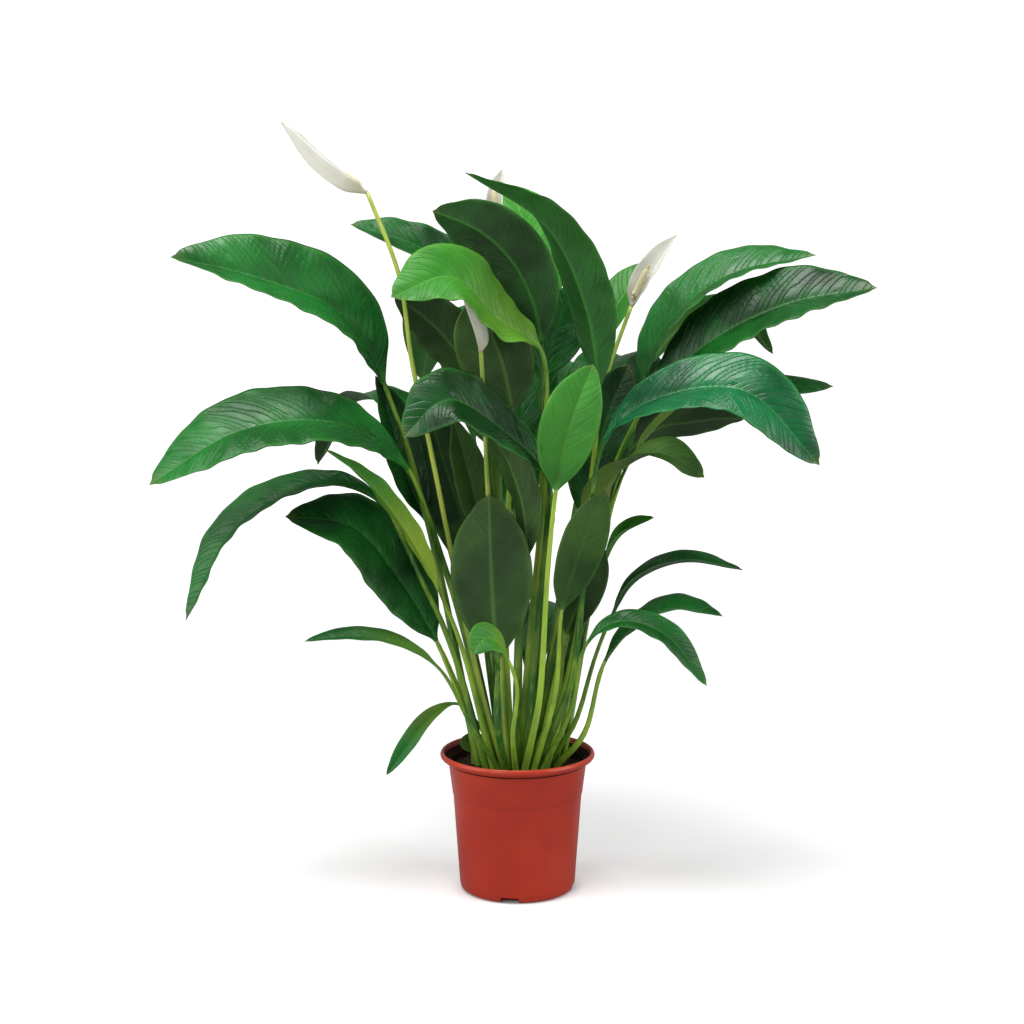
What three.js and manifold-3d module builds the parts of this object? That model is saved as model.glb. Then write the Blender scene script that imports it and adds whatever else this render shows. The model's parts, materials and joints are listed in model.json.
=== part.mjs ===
// A peace lily (Spathiphyllum) in a round nursery pot. Millimetres, +Z up.
// The origin is the middle of the pot's underside, on the floor. -Y is the front.
// Every leaf is one solid that grew as one: a round stalk that flattens into a blade.
import * as THREE from 'three';
import { mergeVertices } from 'three/addons/utils/BufferGeometryUtils.js';
import Module from 'manifold-3d';

const wasm = await Module();
wasm.setup();

// Pot
const POT_HEIGHT = 155;
const RIM_RADIUS = 85;
const LIP_DEPTH = 10;
const SHOULDER_RADIUS = 76;
const STEP_RADIUS = 70.7;
const STEP_HEIGHT = 108;
const STEP_LEDGE = 0.7;
const FOOT_RADIUS = 58;
const FOOT_WIDTH = 9;
const CORNER_RADIUS = 8;
const CORNER_REACH = 5.6;
const WALL = 2;
const FLOOR_RECESS = 2;
const BOSS_RADIUS = 20;
const SLOT_WIDTH = 20;
const SLOT_HEIGHT = 7;
const SLOT_COUNT = 4;
const SLOT_TURN = THREE.MathUtils.degToRad(-98);
const POT_SIDES = 48;

// Soil
const SOIL_TOP = 138;
const SOIL_EDGE = 134;
const SOIL_FLAT_RADIUS = 64;
const SOIL_GAP = 0.4;

// Leaves and flowers
const CLUMP_CENTRE = new THREE.Vector3(0, 0, 0);
const CLUMP_RADIUS = 50;
const ROOT_PULL = 0.38;
const TOUCH_GAP = 0.3;
const STEM_STEPS = 7;
const BLADE_STEPS = 10;
const STEM_ROOT_RADIUS = 4.3;
const STEM_NECK_RADIUS = 2.3;
const BLADE_THICKNESS = 1.2;
const RIB_THICKNESS = 2.6;
const EDGE_THICKNESS = 0.5;
const NECK_SHARE = 0.12;
const LEAF_OPENING = 0.8;
const HOOD_OPENING = 0.5;
const TIP_POWER = 0.7;
const TIP_START = 0.75;
const TIP_NARROWING = 0.2;
const TIP_THINNING = 0.6;
// A narrow leaf has a thin stalk: full size from this width on, and never under the least share.
const FULL_STALK_WIDTH = 72;
const LEAST_STALK = 0.45;
// How far a back leaf's stalk leans out for each millimetre of its height, half-way and at its collar.
const FAN_LEAN = 0.14;
const FAN_COLLAR_LEAN = 0.24;
const FAN_FOLD = 14;
const LEAF_CUP = 0.8;
const HOOD_CUP = 1.8;
const SPADIX_START = 7;
const SPADIX_STAND = 4.5;
const SPADIX_LEAN = 0.12;
const SPADIX_LENGTH = 40;
const SPADIX_RADIUS = 3.8;
// The spadix's widths, from its neck to its blunt end, as shares of its length and radius.
const SPADIX_OUTLINE = [[0, 0.45], [0.08, 0.5], [0.12, 0.95], [0.45, 1], [0.8, 0.85], [0.93, 0.55]];
const STALK_ROOT_RADIUS = 3.2;
const STALK_NECK_RADIUS = 2.2;

const COLOURS = {
  pot: { color: 0xa83a22, roughness: 0.35, metalness: 0 },
  soil: { color: 0x17110d, roughness: 0.95, metalness: 0 },
  deep: { color: 0x0f4a22, roughness: 0.4, metalness: 0 },
  fresh: { color: 0x3b8f35, roughness: 0.45, metalness: 0 },
  olive: { color: 0x3a5f2c, roughness: 0.6, metalness: 0 },
  teal: { color: 0x0d4f3a, roughness: 0.35, metalness: 0 },
  stalk: { color: 0x6f9a3a, roughness: 0.5, metalness: 0 },
  spathe: { color: 0xf3efe6, roughness: 0.5, metalness: 0 },
  spadix: { color: 0xe9e2b8, roughness: 0.7, metalness: 0 },
};

// The leaves. `stem` holds the points that a stalk passes on its way up, `blade` the points of the
// midrib from the collar to the tip. `tilt` is how far the upper face leans to the front, in degrees,
// at the collar and at the tip. `fold` is how far each half of the blade rises from the midrib.
// `heading` is the direction that an upright blade grows to, in degrees from +X.
const LEAVES = {
  leaf_left_high: {
    colour: 'deep', width: 104, tilt: [55, 35], fold: 24, stem: [[-95, -10, 415]],
    blade: [[-140, -20, 560], [-184, -45, 636], [-273, -70, 676], [-355, -90, 696]],
  },
  leaf_left_long: {
    colour: 'deep', width: 92, tilt: [40, 30], fold: 10, stem: [[-60, -30, 305], [-90, -40, 405]],
    blade: [[-115, -48, 471], [-183, -88, 525], [-280, -122, 523], [-372, -150, 469]],
  },
  leaf_left_droop: {
    colour: 'deep', width: 62, tilt: [15, 25], fold: 20, stem: [[-70, -30, 285], [-110, -30, 370]],
    blade: [[-140, -30, 430], [-195, -40, 456], [-295, -50, 415], [-352, -60, 312]],
  },
  leaf_left_low_arch: {
    colour: 'deep', width: 96, tilt: [62, 30], fold: 8, stem: [[-55, -15, 215]],
    blade: [[-85, -30, 285], [-122, -40, 350], [-175, -50, 412], [-245, -60, 424]],
  },
  leaf_left_thin: {
    colour: 'deep', width: 30, tilt: [20, 20], fold: 18, stem: [[-50, -40, 195]],
    blade: [[-85, -50, 260], [-135, -60, 290], [-180, -68, 297], [-225, -75, 293]],
  },
  leaf_left_strap: {
    colour: 'deep', width: 20, tilt: [40, 60], fold: 20, stem: [[-45, -5, 185]],
    blade: [[-68, -12, 210], [-95, -25, 200], [-120, -35, 170], [-142, -42, 138]],
  },
  leaf_crown_left: {
    colour: 'deep', width: 66, tilt: [45, 32], fold: 14, stem: [[-20, 25, 410], [-22, 28, 540]],
    blade: [[-30, 30, 620], [-60, 25, 676], [-110, 15, 706], [-178, 5, 728]],
  },
  leaf_crown_dark: {
    colour: 'deep', width: 80, tilt: [-70, -60], fold: 8, stem: [[25, -15, 370], [30, -18, 500]],
    blade: [[25, -20, 605], [16, -28, 648], [-8, -34, 692], [-42, -36, 722], [-90, -36, 742]],
  },
  leaf_crown_bright: {
    colour: 'fresh', width: 84, tilt: [50, 45], fold: 12, stem: [[15, -35, 285], [30, -45, 495]],
    blade: [[22, -60, 600], [-20, -75, 630], [-70, -100, 675], [-130, -125, 655]],
  },
  leaf_crown_shade: {
    colour: 'olive', width: 78, tilt: [-50, -40], fold: 8, stem: [[-25, 0, 325], [-25, -5, 455]],
    blade: [[-35, -10, 550], [-65, -20, 600], [-95, -30, 630], [-130, -35, 655]],
  },
  leaf_gloss_left: {
    colour: 'deep', width: 70, tilt: [50, 45], fold: 10, stem: [[-20, 30, 315], [-28, 30, 450]],
    blade: [[-38, 25, 535], [-60, 20, 575], [-90, 12, 610], [-115, 5, 632]],
  },
  leaf_centre_front: {
    colour: 'olive', width: 88, tilt: [0, 0], fold: 10, heading: -70,
    stem: [[-15, -45, 300], [-12, -48, 430]],
    blade: [[-8, -50, 530], [-15, -55, 580], [-28, -50, 625], [-38, -35, 662]],
  },
  leaf_back_top: {
    colour: 'fresh', width: 88, tilt: [10, 10], fold: 10, heading: 80, stem: [[25, 45, 405], [30, 50, 535]],
    blade: [[27, 62, 630], [18, 75, 685], [5, 95, 735], [-10, 115, 768]],
  },
  leaf_top_arch: {
    colour: 'deep', width: 74, tilt: [-58, 6], fold: 18, stem: [[60, -25, 330], [80, -32, 470]],
    blade: [[85, -45, 556], [71, -60, 646], [30, -72, 728], [-54, -75, 782]],
  },
  leaf_back_right_tip: {
    colour: 'fresh', width: 50, tilt: [20, 20], fold: 12, stem: [[60, 50, 400], [80, 62, 530]],
    blade: [[95, 72, 600], [110, 85, 640], [150, 108, 686]],
  },
  leaf_right_high: {
    colour: 'deep', width: 80, tilt: [38, 20], fold: 16, stem: [[70, 5, 320], [105, 0, 450]],
    blade: [[130, -5, 545], [152, -20, 615], [215, -30, 672], [312, -40, 694]],
  },
  leaf_right_long: {
    colour: 'deep', width: 96, tilt: [48, 32], fold: 16, stem: [[60, -20, 305], [105, -32, 450]],
    blade: [[145, -50, 545], [199, -68, 606], [277, -90, 651], [365, -108, 668]],
  },
  leaf_right_broad: {
    colour: 'teal', width: 84, tilt: [30, 48], fold: 12, stem: [[55, -40, 245], [65, -55, 400]],
    blade: [[78, -80, 516], [127, -112, 558], [224, -145, 567], [301, -160, 491]],
  },
  leaf_right_back_tip: {
    colour: 'fresh', width: 56, tilt: [-40, -30], fold: 8, stem: [[80, 45, 380], [115, 55, 480]],
    blade: [[140, 62, 570], [190, 70, 625], [240, 68, 632], [280, 52, 586]],
  },
  leaf_right_twist: {
    colour: 'deep', width: 40, tilt: [-35, 60], fold: 10, stem: [[80, 0, 370]],
    blade: [[120, 4, 478], [180, -4, 528], [260, -20, 546], [335, -32, 550]],
  },
  leaf_centre_bright: {
    colour: 'fresh', width: 62, tilt: [25, 25], fold: 14, heading: 60, stem: [[25, -58, 227], [32, -80, 362]],
    blade: [[40, -100, 457], [47, -120, 507], [59, -132, 548], [76, -130, 590]],
  },
  leaf_centre_dark: {
    colour: 'deep', width: 80, tilt: [40, 50], fold: 10, stem: [[15, -40, 265], [25, -50, 375]],
    blade: [[30, -72, 463], [-15, -105, 518], [-74, -138, 554], [-116, -155, 517]],
  },
  leaf_centre_hang: {
    colour: 'olive', width: 56, tilt: [-60, -60], fold: 14, stem: [[0, -58, 260]],
    blade: [[10, -70, 380], [8, -75, 440], [-20, -62, 505], [-65, -45, 535]],
  },
  leaf_low_olive: {
    colour: 'olive', width: 86, tilt: [0, 0], fold: 6, heading: -90, stem: [[-20, -55, 205]],
    blade: [[-20, -78, 275], [-25, -90, 330], [-28, -92, 390], [-30, -75, 450]],
  },
  leaf_low_small: {
    colour: 'fresh', width: 38, tilt: [45, 50], fold: 10, stem: [[-5, -68, 195], [0, -78, 240]],
    blade: [[-10, -105, 280], [-22, -122, 303], [-35, -134, 308], [-46, -145, 294]],
  },
  leaf_right_olive: {
    colour: 'olive', width: 50, tilt: [0, 0], fold: 8, heading: 100, stem: [[40, -48, 235]],
    blade: [[46, -68, 325], [60, -80, 375], [75, -86, 420], [92, -82, 455]],
  },
  leaf_right_needle: {
    colour: 'fresh', width: 34, tilt: [20, 20], fold: 20, stem: [[65, -12, 290]],
    blade: [[90, -22, 365], [110, -30, 400], [145, -40, 420]],
  },
  leaf_right_veined: {
    colour: 'olive', width: 44, tilt: [-40, -40], fold: 8, heading: -60, stem: [[48, -22, 220]],
    blade: [[55, -35, 290], [70, -45, 340], [88, -50, 395]],
  },
  leaf_right_bend: {
    colour: 'olive', width: 74, tilt: [-50, 40], fold: 12, stem: [[62, -38, 300]],
    blade: [[75, -52, 402], [105, -62, 464], [150, -68, 490], [197, -74, 465]],
  },
  leaf_right_under: {
    colour: 'olive', width: 60, tilt: [-45, -45], fold: 8, stem: [[80, 12, 385]],
    blade: [[105, 8, 472], [145, 2, 518], [190, -4, 537], [242, -12, 540]],
  },
  leaf_right_core: {
    colour: 'deep', width: 76, tilt: [10, 10], fold: 10, heading: 60, stem: [[60, 2, 300]],
    blade: [[72, 6, 415], [86, 10, 475], [100, 10, 530], [120, 2, 580]],
  },
  leaf_back_gloss: {
    colour: 'deep', width: 66, tilt: [20, 20], fold: 10, heading: 110, stem: [[30, 28, 360], [30, 30, 480]],
    blade: [[28, 32, 560], [38, 34, 605], [60, 30, 662]],
  },
  leaf_mid_upright: {
    colour: 'olive', width: 44, tilt: [0, 0], fold: 12, heading: 120, stem: [[-20, -25, 285]],
    blade: [[-32, -30, 375], [-48, -32, 450], [-68, -32, 525]],
  },
  leaf_shade_back: {
    colour: 'olive', width: 72, tilt: [0, 0], fold: 6, heading: 90, stem: [[-30, 10, 255]],
    blade: [[-42, 15, 340], [-60, 22, 410], [-80, 30, 470], [-98, 32, 530]],
  },
  leaf_left_spear: {
    colour: 'fresh', width: 42, tilt: [-40, -20], fold: 14, stem: [[-55, -45, 275]],
    blade: [[-82, -55, 345], [-120, -62, 415], [-160, -66, 465], [-202, -72, 497]],
  },
  leaf_left_ridge: {
    colour: 'deep', width: 74, tilt: [30, 10], fold: 10, heading: 170, stem: [[-50, 10, 275], [-75, 10, 350]],
    blade: [[-98, 10, 410], [-120, 5, 465], [-135, 0, 515], [-152, -6, 568]],
  },
  leaf_low_right_top: {
    colour: 'deep', width: 44, tilt: [10, 5], fold: 20, stem: [[55, -10, 185], [80, -15, 260]],
    blade: [[100, -20, 310], [125, -30, 350], [175, -38, 372], [240, -45, 364]],
  },
  leaf_low_right_mid: {
    colour: 'deep', width: 52, tilt: [20, 10], fold: 14, stem: [[62, -25, 180]],
    blade: [[90, -35, 262], [120, -45, 300], [165, -55, 326], [217, -65, 318]],
  },
  leaf_low_right_drop: {
    colour: 'deep', width: 34, tilt: [30, 40], fold: 14, stem: [[55, -45, 215]],
    blade: [[72, -75, 292], [108, -88, 318], [155, -95, 304], [198, -98, 250]],
  },
  leaf_pot_round: {
    colour: 'fresh', width: 22, tilt: [0, 0], fold: 4, heading: 90, pull: 0.95, stem: [],
    blade: [[-49, 6, 150], [-52, 5, 161], [-53, 4, 173]],
  },
};

// Leaves that fill the back of the clump: a fan of arching leaves, some high and some low.
const BACK_FAN = [
  { name: 'leaf_back_fan_1', heading: 150, reach: 165, collar: 410, rise: 110, width: 82 },
  { name: 'leaf_back_fan_2', heading: 112, reach: 185, collar: 490, rise: 120, width: 86 },
  { name: 'leaf_back_fan_3', heading: 100, reach: 200, collar: 320, rise: 90, width: 84 },
  { name: 'leaf_back_fan_4', heading: 72, reach: 190, collar: 440, rise: 115, width: 88 },
  { name: 'leaf_back_fan_5', heading: 50, reach: 140, collar: 430, rise: 130, width: 78 },
  { name: 'leaf_back_fan_6', heading: 72, reach: 165, collar: 220, rise: 60, width: 56 },
  { name: 'leaf_back_fan_7', heading: 88, reach: 70, collar: 390, rise: 170, width: 92 },
];

// The flowers, laid out as the leaves are: `stem` is the stalk and `blade` is the spathe, the white
// hood round the spadix. A flower still in bud hides its spadix.
const FLOWERS = {
  flower_left: {
    width: 42, tilt: [0, 10], fold: 50, spadix: true,
    stem: [[-50, -35, 265], [-91, -48, 482], [-113, -45, 591], [-133, -42, 714]],
    blade: [[-157, -42, 762], [-177, -46, 764], [-214, -50, 790], [-243, -55, 833]],
  },
  flower_bud: {
    width: 26, tilt: [-30, -30], fold: 50, spadix: false,
    stem: [[-16, -45, 300], [-29, -70, 469], [-32, -84, 549]],
    blade: [[-35, -90, 601], [-43, -96, 634], [-53, -100, 665]],
  },
  flower_back: {
    width: 30, tilt: [0, 0], fold: 46, heading: 70, spadix: true,
    stem: [[0, 30, 360], [-12, 36, 540], [-20, 38, 655]],
    blade: [[-20, 40, 718], [-22, 44, 752], [-17, 48, 786]],
  },
  flower_right: {
    width: 33, tilt: [40, 40], fold: 40, spadix: true,
    stem: [[65, 22, 365], [88, 26, 510], [108, 32, 590]],
    blade: [[126, 36, 640], [146, 40, 678], [172, 46, 716]],
  },
};

const UP = new THREE.Vector3(0, 0, 1);
const vector = (p) => new THREE.Vector3(p[0], p[1], p[2]);
const smooth = (a, b, x) => THREE.MathUtils.smoothstep(x, a, b);
const mix = THREE.MathUtils.lerp;

// Evenly spaced points of a curve between two of its parameters.
function stretch(curve, from, to, steps) {
  const fine = 80;
  const points = [];
  const lengths = [0];
  for (let i = 0; i <= fine; i += 1) {
    points.push(curve.getPoint(mix(from, to, i / fine)));
    if (i > 0) lengths.push(lengths[i - 1] + points[i].distanceTo(points[i - 1]));
  }
  const even = [];
  for (let k = 0, i = 0; k <= steps; k += 1) {
    const wanted = (lengths[fine] * k) / steps;
    while (i < fine - 1 && lengths[i + 1] < wanted) i += 1;
    const share = (wanted - lengths[i]) / (lengths[i + 1] - lengths[i]);
    even.push(points[i].clone().lerp(points[i + 1], Math.min(1, Math.max(0, share))));
  }
  return even;
}

// Where a stalk leaves the soil: on the same side of the clump that it leans to.
function rootOf(point, pull = ROOT_PULL) {
  const lean = new THREE.Vector3(point.x, point.y, 0).sub(CLUMP_CENTRE).multiplyScalar(pull);
  if (lean.length() > CLUMP_RADIUS) lean.setLength(CLUMP_RADIUS);
  return lean.add(CLUMP_CENTRE).setZ(SOIL_TOP + TOUCH_GAP);
}

// The midline of a leaf or flower, from the soil to its tip.
function midline(stemPoints, bladePoints, pull) {
  const above = [...stemPoints, ...bladePoints].map(vector);
  const curve = new THREE.CatmullRomCurve3([rootOf(above[0], pull), ...above], false, 'centripetal');
  const collar = (stemPoints.length + 1) / above.length;
  const stem = stretch(curve, 0, collar, STEM_STEPS);
  const blade = stretch(curve, collar, 1, BLADE_STEPS);
  return [...stem, ...blade.slice(1)];
}

// Half the width of a blade, as a share of its widest, at a share s of its length. The power says
// how slowly it widens from the collar.
function outline(s, power) {
  const widest = power / (power + TIP_POWER);
  const shape = (x) => x ** power * (1 - x) ** TIP_POWER;
  return (shape(s) / shape(widest)) * (1 - TIP_NARROWING * smooth(TIP_START, 1, s));
}

function headingOf(member) {
  if (member.heading !== undefined) {
    const angle = THREE.MathUtils.degToRad(member.heading);
    return new THREE.Vector3(Math.cos(angle), Math.sin(angle), 0);
  }
  const collar = member.points[STEM_STEPS];
  const tip = member.points[member.points.length - 1];
  return tip.clone().sub(collar).setZ(0).normalize();
}

// The side and face directions of a blade at one point of its midline.
function frameAt(member, index, share) {
  const points = member.points;
  const before = points[Math.max(0, index - 1)];
  const after = points[Math.min(points.length - 1, index + 1)];
  const along = after.clone().sub(before).normalize();
  if (index === 0) along.copy(UP);
  const heading = headingOf(member);
  const across = new THREE.Vector3(heading.y, -heading.x, 0);
  across.addScaledVector(along, -across.dot(along)).normalize();
  const face = new THREE.Vector3().crossVectors(across, along);
  const toFront = heading.x < 0 ? 1 : -1;
  const roll = toFront * THREE.MathUtils.degToRad(mix(member.tilt[0], member.tilt[1], share));
  const side = across.clone().multiplyScalar(Math.cos(roll)).addScaledVector(face, Math.sin(roll));
  const top = face.clone().multiplyScalar(Math.cos(roll)).addScaledVector(across, -Math.sin(roll));
  return { side, top };
}

// Eight points round the midline: a circle on the stalk, which opens into a folded thin blade.
function ringAt(member, index) {
  const last = STEM_STEPS + BLADE_STEPS;
  const stemShare = Math.min(1, index / STEM_STEPS);
  const share = Math.max(0, (index - STEM_STEPS) / BLADE_STEPS);
  const { side, top } = frameAt(member, index, share);
  const radius = mix(member.rootRadius, member.neckRadius, stemShare);
  const flat = smooth(0, NECK_SHARE, share);
  const half = (member.width / 2) * outline(share, member.opening);
  const fold = THREE.MathUtils.degToRad(member.fold);
  const thinning = index < last ? 1 - TIP_THINNING * share : 0;
  const ring = [];
  for (let k = 0; k < 8; k += 1) {
    const angle = Math.PI - (k * Math.PI) / 4;
    const u = [-1, -0.5, 0, 0.5, 1, 0.5, 0, -0.5][k];
    const face = [0, 1, 1, 1, 0, -1, -1, -1][k];
    const depth = (u === 0 && face < 0 ? RIB_THICKNESS : BLADE_THICKNESS / 2) * thinning;
    const rise = Math.abs(u) ** member.cup * half * Math.sin(fold);
    const bladeAcross = u * half * Math.cos(fold);
    const bladeUp = rise + (face === 0 ? 0 : face * Math.max(depth, EDGE_THICKNESS / 2));
    const across = mix(Math.cos(angle) * radius, bladeAcross, flat);
    const up = mix(Math.sin(angle) * radius, bladeUp, flat);
    ring.push(member.points[index].clone().addScaledVector(side, across).addScaledVector(top, up));
  }
  return ring;
}

// A closed skin over a row of rings, with a point in the middle of each end. The far half of each ring
// is split the other way, so that the two faces of a thin twisted blade stay the same distance apart.
function skin(rings, start, end) {
  const sides = rings[0].length;
  const positions = [start, ...rings.flat(), end].flatMap((p) => [p.x, p.y, p.z]);
  const last = rings.length * sides + 1;
  const faces = [];
  for (let k = 0; k < sides; k += 1) {
    const next = (k + 1) % sides;
    faces.push(0, 1 + k, 1 + next);
    faces.push(last, last - sides + next, last - sides + k);
    for (let i = 0; i + 1 < rings.length; i += 1) {
      const a = 1 + i * sides;
      const b = a + sides;
      if (2 * k < sides) faces.push(a + k, b + k, b + next, a + k, b + next, a + next);
      else faces.push(a + k, b + k, a + next, b + k, b + next, a + next);
    }
  }
  const geometry = new THREE.BufferGeometry();
  geometry.setAttribute('position', new THREE.Float32BufferAttribute(positions, 3));
  geometry.setIndex(faces);
  return outward(geometry);
}

// Turns a closed geometry's faces outwards.
function outward(geometry) {
  const p = geometry.attributes.position;
  const index = geometry.index.array;
  const corner = (i) => new THREE.Vector3().fromBufferAttribute(p, index[i]);
  let volume = 0;
  for (let i = 0; i < index.length; i += 3) volume += corner(i).dot(corner(i + 1).cross(corner(i + 2)));
  if (volume < 0) {
    for (let i = 0; i < index.length; i += 3) [index[i], index[i + 1]] = [index[i + 1], index[i]];
  }
  return geometry;
}

function bladeGeometry(member, from) {
  const rings = [];
  for (let i = from; i < member.points.length - 1; i += 1) rings.push(ringAt(member, i));
  return skin(rings, member.points[from], member.points[member.points.length - 1]);
}

function makeLeaf(name, leaf) {
  const size = Math.min(1, mix(LEAST_STALK, 1, leaf.width / FULL_STALK_WIDTH));
  return {
    name, ...leaf, points: midline(leaf.stem, leaf.blade, leaf.pull), cup: LEAF_CUP, opening: LEAF_OPENING,
    rootRadius: STEM_ROOT_RADIUS * size, neckRadius: STEM_NECK_RADIUS * size,
  };
}

// A leaf that rises to its collar, arches over and hangs a little at its tip.
function backLeaf({ name, heading, reach, collar, rise, width }) {
  const angle = THREE.MathUtils.degToRad(heading);
  const at = (distance, height) => [
    CLUMP_CENTRE.x + Math.cos(angle) * distance, CLUMP_CENTRE.y + Math.sin(angle) * distance, height,
  ];
  const start = collar * FAN_COLLAR_LEAN;
  const stem = [at(collar * FAN_LEAN, mix(SOIL_TOP, collar, 0.5))];
  const blade = [
    at(start, collar), at(start + reach * 0.3, collar + rise),
    at(start + reach * 0.68, collar + rise * 1.1), at(start + reach, collar + rise * 0.4),
  ];
  return makeLeaf(name, { colour: 'deep', width, tilt: [0, 0], fold: FAN_FOLD, stem, blade });
}

function makeFlower([name, flower]) {
  return {
    name, ...flower, points: midline(flower.stem, flower.blade), cup: HOOD_CUP, opening: HOOD_OPENING,
    rootRadius: STALK_ROOT_RADIUS, neckRadius: STALK_NECK_RADIUS,
  };
}

// --- Room for every leaf ---------------------------------------------------------------------
// Leaves in a clump press each other aside. Each round looks for places where two of them come
// closer than they may, and moves both apart, the nearer one to the front.
const BLADE_ROOM = 5.6;
const STEM_ROOM = 9.6;
const STEM_BLADE_ROOM = 7;
const LOOK = 14;
const SAMPLE_STEP = 7;
const ROUNDS = 180;
// How much of each push is taken per round, and how far neighbouring points even out.
const GAIN = 0.6;
const EVENING = 0.25;
const LEAST_SIDESTEP = 1.5;
const FRONT_SHARE = 0.4;
const TOWARDS_VIEWER = new THREE.Vector3(0, -1, 0.3).normalize();

function samplesOf(member, number) {
  const rings = member.points.slice(0, -1).map((_, i) => ringAt(member, i));
  rings.push(Array(8).fill(member.points[member.points.length - 1]));
  const samples = [];
  for (let i = 0; i + 1 < rings.length; i += 1) {
    const length = rings[i][1].distanceTo(rings[i + 1][1]);
    const steps = Math.ceil(length / SAMPLE_STEP);
    for (let s = 0; s < steps; s += 1) {
      const share = s / steps;
      const row = [0, 1, 2, 3, 4].map((k) => rings[i][k].clone().lerp(rings[i + 1][k], share));
      const wide = row[0].distanceTo(row[4]);
      const isStem = i < STEM_STEPS;
      const across = isStem ? 1 : Math.max(1, Math.ceil(wide / SAMPLE_STEP));
      const normal = new THREE.Vector3().crossVectors(
        row[4].clone().sub(row[0]), rings[i + 1][2].clone().sub(rings[i][2]),
      ).normalize();
      if (normal.dot(TOWARDS_VIEWER) < 0) normal.negate();
      for (let a = 0; a <= across; a += 1) {
        const u = isStem ? 2 : (4 * a) / across;
        const left = Math.min(3, Math.floor(u));
        const point = row[left].clone().lerp(row[left + 1], u - left);
        if (isStem) point.lerpVectors(member.points[i], member.points[i + 1], share);
        samples.push({ number, i, share, point, normal, isStem });
        if (isStem) break;
      }
    }
  }
  return samples;
}

const cellOf = (p) => `${Math.floor(p.x / LOOK)},${Math.floor(p.y / LOOK)},${Math.floor(p.z / LOOK)}`;

// Every pair of samples of two different members that is closer than `reach`.
function closePairs(samples, reach, visit) {
  const cells = new Map();
  for (const sample of samples) {
    const key = cellOf(sample.point);
    if (!cells.has(key)) cells.set(key, []);
    cells.get(key).push(sample);
  }
  const probe = new THREE.Vector3();
  for (const sample of samples) {
    for (let n = 0; n < 27; n += 1) {
      probe.set(n % 3 - 1, Math.floor(n / 3) % 3 - 1, Math.floor(n / 9) - 1).multiplyScalar(LOOK);
      for (const other of cells.get(cellOf(probe.add(sample.point))) ?? []) {
        if (other.number <= sample.number) continue;
        const distance = sample.point.distanceTo(other.point);
        if (distance < reach) visit(sample, other, distance);
      }
    }
  }
}

// +1 where the first of two members passes in front of the second, -1 where it passes behind.
function passingOrder(samples) {
  const sums = new Map();
  closePairs(samples, LOOK, (a, b) => {
    const key = a.number * 100 + b.number;
    sums.set(key, (sums.get(key) ?? 0) + a.point.clone().sub(b.point).dot(TOWARDS_VIEWER));
  });
  return sums;
}

function needed(a, b) {
  if (a.isStem && b.isStem) return STEM_ROOM;
  return a.isStem || b.isStem ? STEM_BLADE_ROOM : BLADE_ROOM;
}

function makeRoom(members) {
  const rest = members.map((member) => member.points.map((p) => p.clone()));
  const order = passingOrder(members.flatMap(samplesOf));
  for (let round = 0; round < ROUNDS; round += 1) {
    const pushes = members.map((member) => member.points.map(() => new THREE.Vector4()));
    const push = (sample, direction, amount) => {
      for (const [index, weight] of [[sample.i, 1 - sample.share], [sample.i + 1, sample.share]]) {
        const sum = pushes[sample.number][index];
        sum.x += direction.x * amount * weight;
        sum.y += direction.y * amount * weight;
        sum.z += direction.z * amount * weight;
        sum.w += weight;
      }
    };
    closePairs(members.flatMap(samplesOf), STEM_ROOM, (a, b, distance) => {
      const missing = needed(a, b) - distance;
      if (missing <= 0) return;
      const front = (order.get(a.number * 100 + b.number) ?? 1) > 0 ? 1 : -1;
      const direction = new THREE.Vector3();
      if (a.isStem && b.isStem) {
        direction.subVectors(a.point, b.point).setZ(0);
        direction.y = -front * Math.max(Math.abs(direction.y), LEAST_SIDESTEP);
      } else {
        direction.copy(a.isStem ? b.normal : a.normal).multiplyScalar(front);
        direction.addScaledVector(TOWARDS_VIEWER, front * FRONT_SHARE);
      }
      direction.normalize();
      push(a, direction, missing);
      push(b, direction, -missing);
    });
    members.forEach((member, m) => settle(member, rest[m], pushes[m]));
  }
}

function settle(member, rest, pushes) {
  const moves = member.points.map((point, i) => {
    const move = point.clone().sub(rest[i]);
    const { x, y, z, w } = pushes[i];
    if (w > 0) move.add(new THREE.Vector3(x, y, z).multiplyScalar(GAIN / Math.max(w, 0.5)));
    return move;
  });
  member.points.forEach((point, i) => {
    const before = moves[Math.max(0, i - 1)];
    const after = moves[Math.min(moves.length - 1, i + 1)];
    const even = before.clone().add(after).multiplyScalar(0.5);
    point.copy(rest[i]).add(moves[i].clone().lerp(even, i === 0 ? 0 : EVENING));
  });
  const root = member.points[0];
  const lean = root.clone().sub(CLUMP_CENTRE).setZ(0);
  if (lean.length() > CLUMP_RADIUS) lean.setLength(CLUMP_RADIUS);
  root.copy(CLUMP_CENTRE).add(lean).setZ(SOIL_TOP + TOUCH_GAP);
}

// --- Pot and soil ----------------------------------------------------------------------------
// A closed outline of radius and height points, turned round the Z axis.
function turned(outlinePoints) {
  const points = outlinePoints.map(([radius, height]) => new THREE.Vector2(radius, height));
  return new THREE.LatheGeometry(points, POT_SIDES).rotateX(Math.PI / 2);
}

function solidOf(geometry) {
  const bare = geometry.clone();
  bare.deleteAttribute('normal');
  bare.deleteAttribute('uv');
  const merged = outward(mergeVertices(bare, 1e-3));
  return new wasm.Manifold(new wasm.Mesh({
    numProp: 3,
    vertProperties: new Float32Array(merged.attributes.position.array),
    triVerts: new Uint32Array(merged.index.array),
  }));
}

function geometryOf(solid) {
  const mesh = solid.getMesh();
  const geometry = new THREE.BufferGeometry();
  geometry.setAttribute('position', new THREE.BufferAttribute(new Float32Array(mesh.vertProperties), 3));
  geometry.setIndex(new THREE.BufferAttribute(new Uint32Array(mesh.triVerts), 1));
  return geometry;
}

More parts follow.
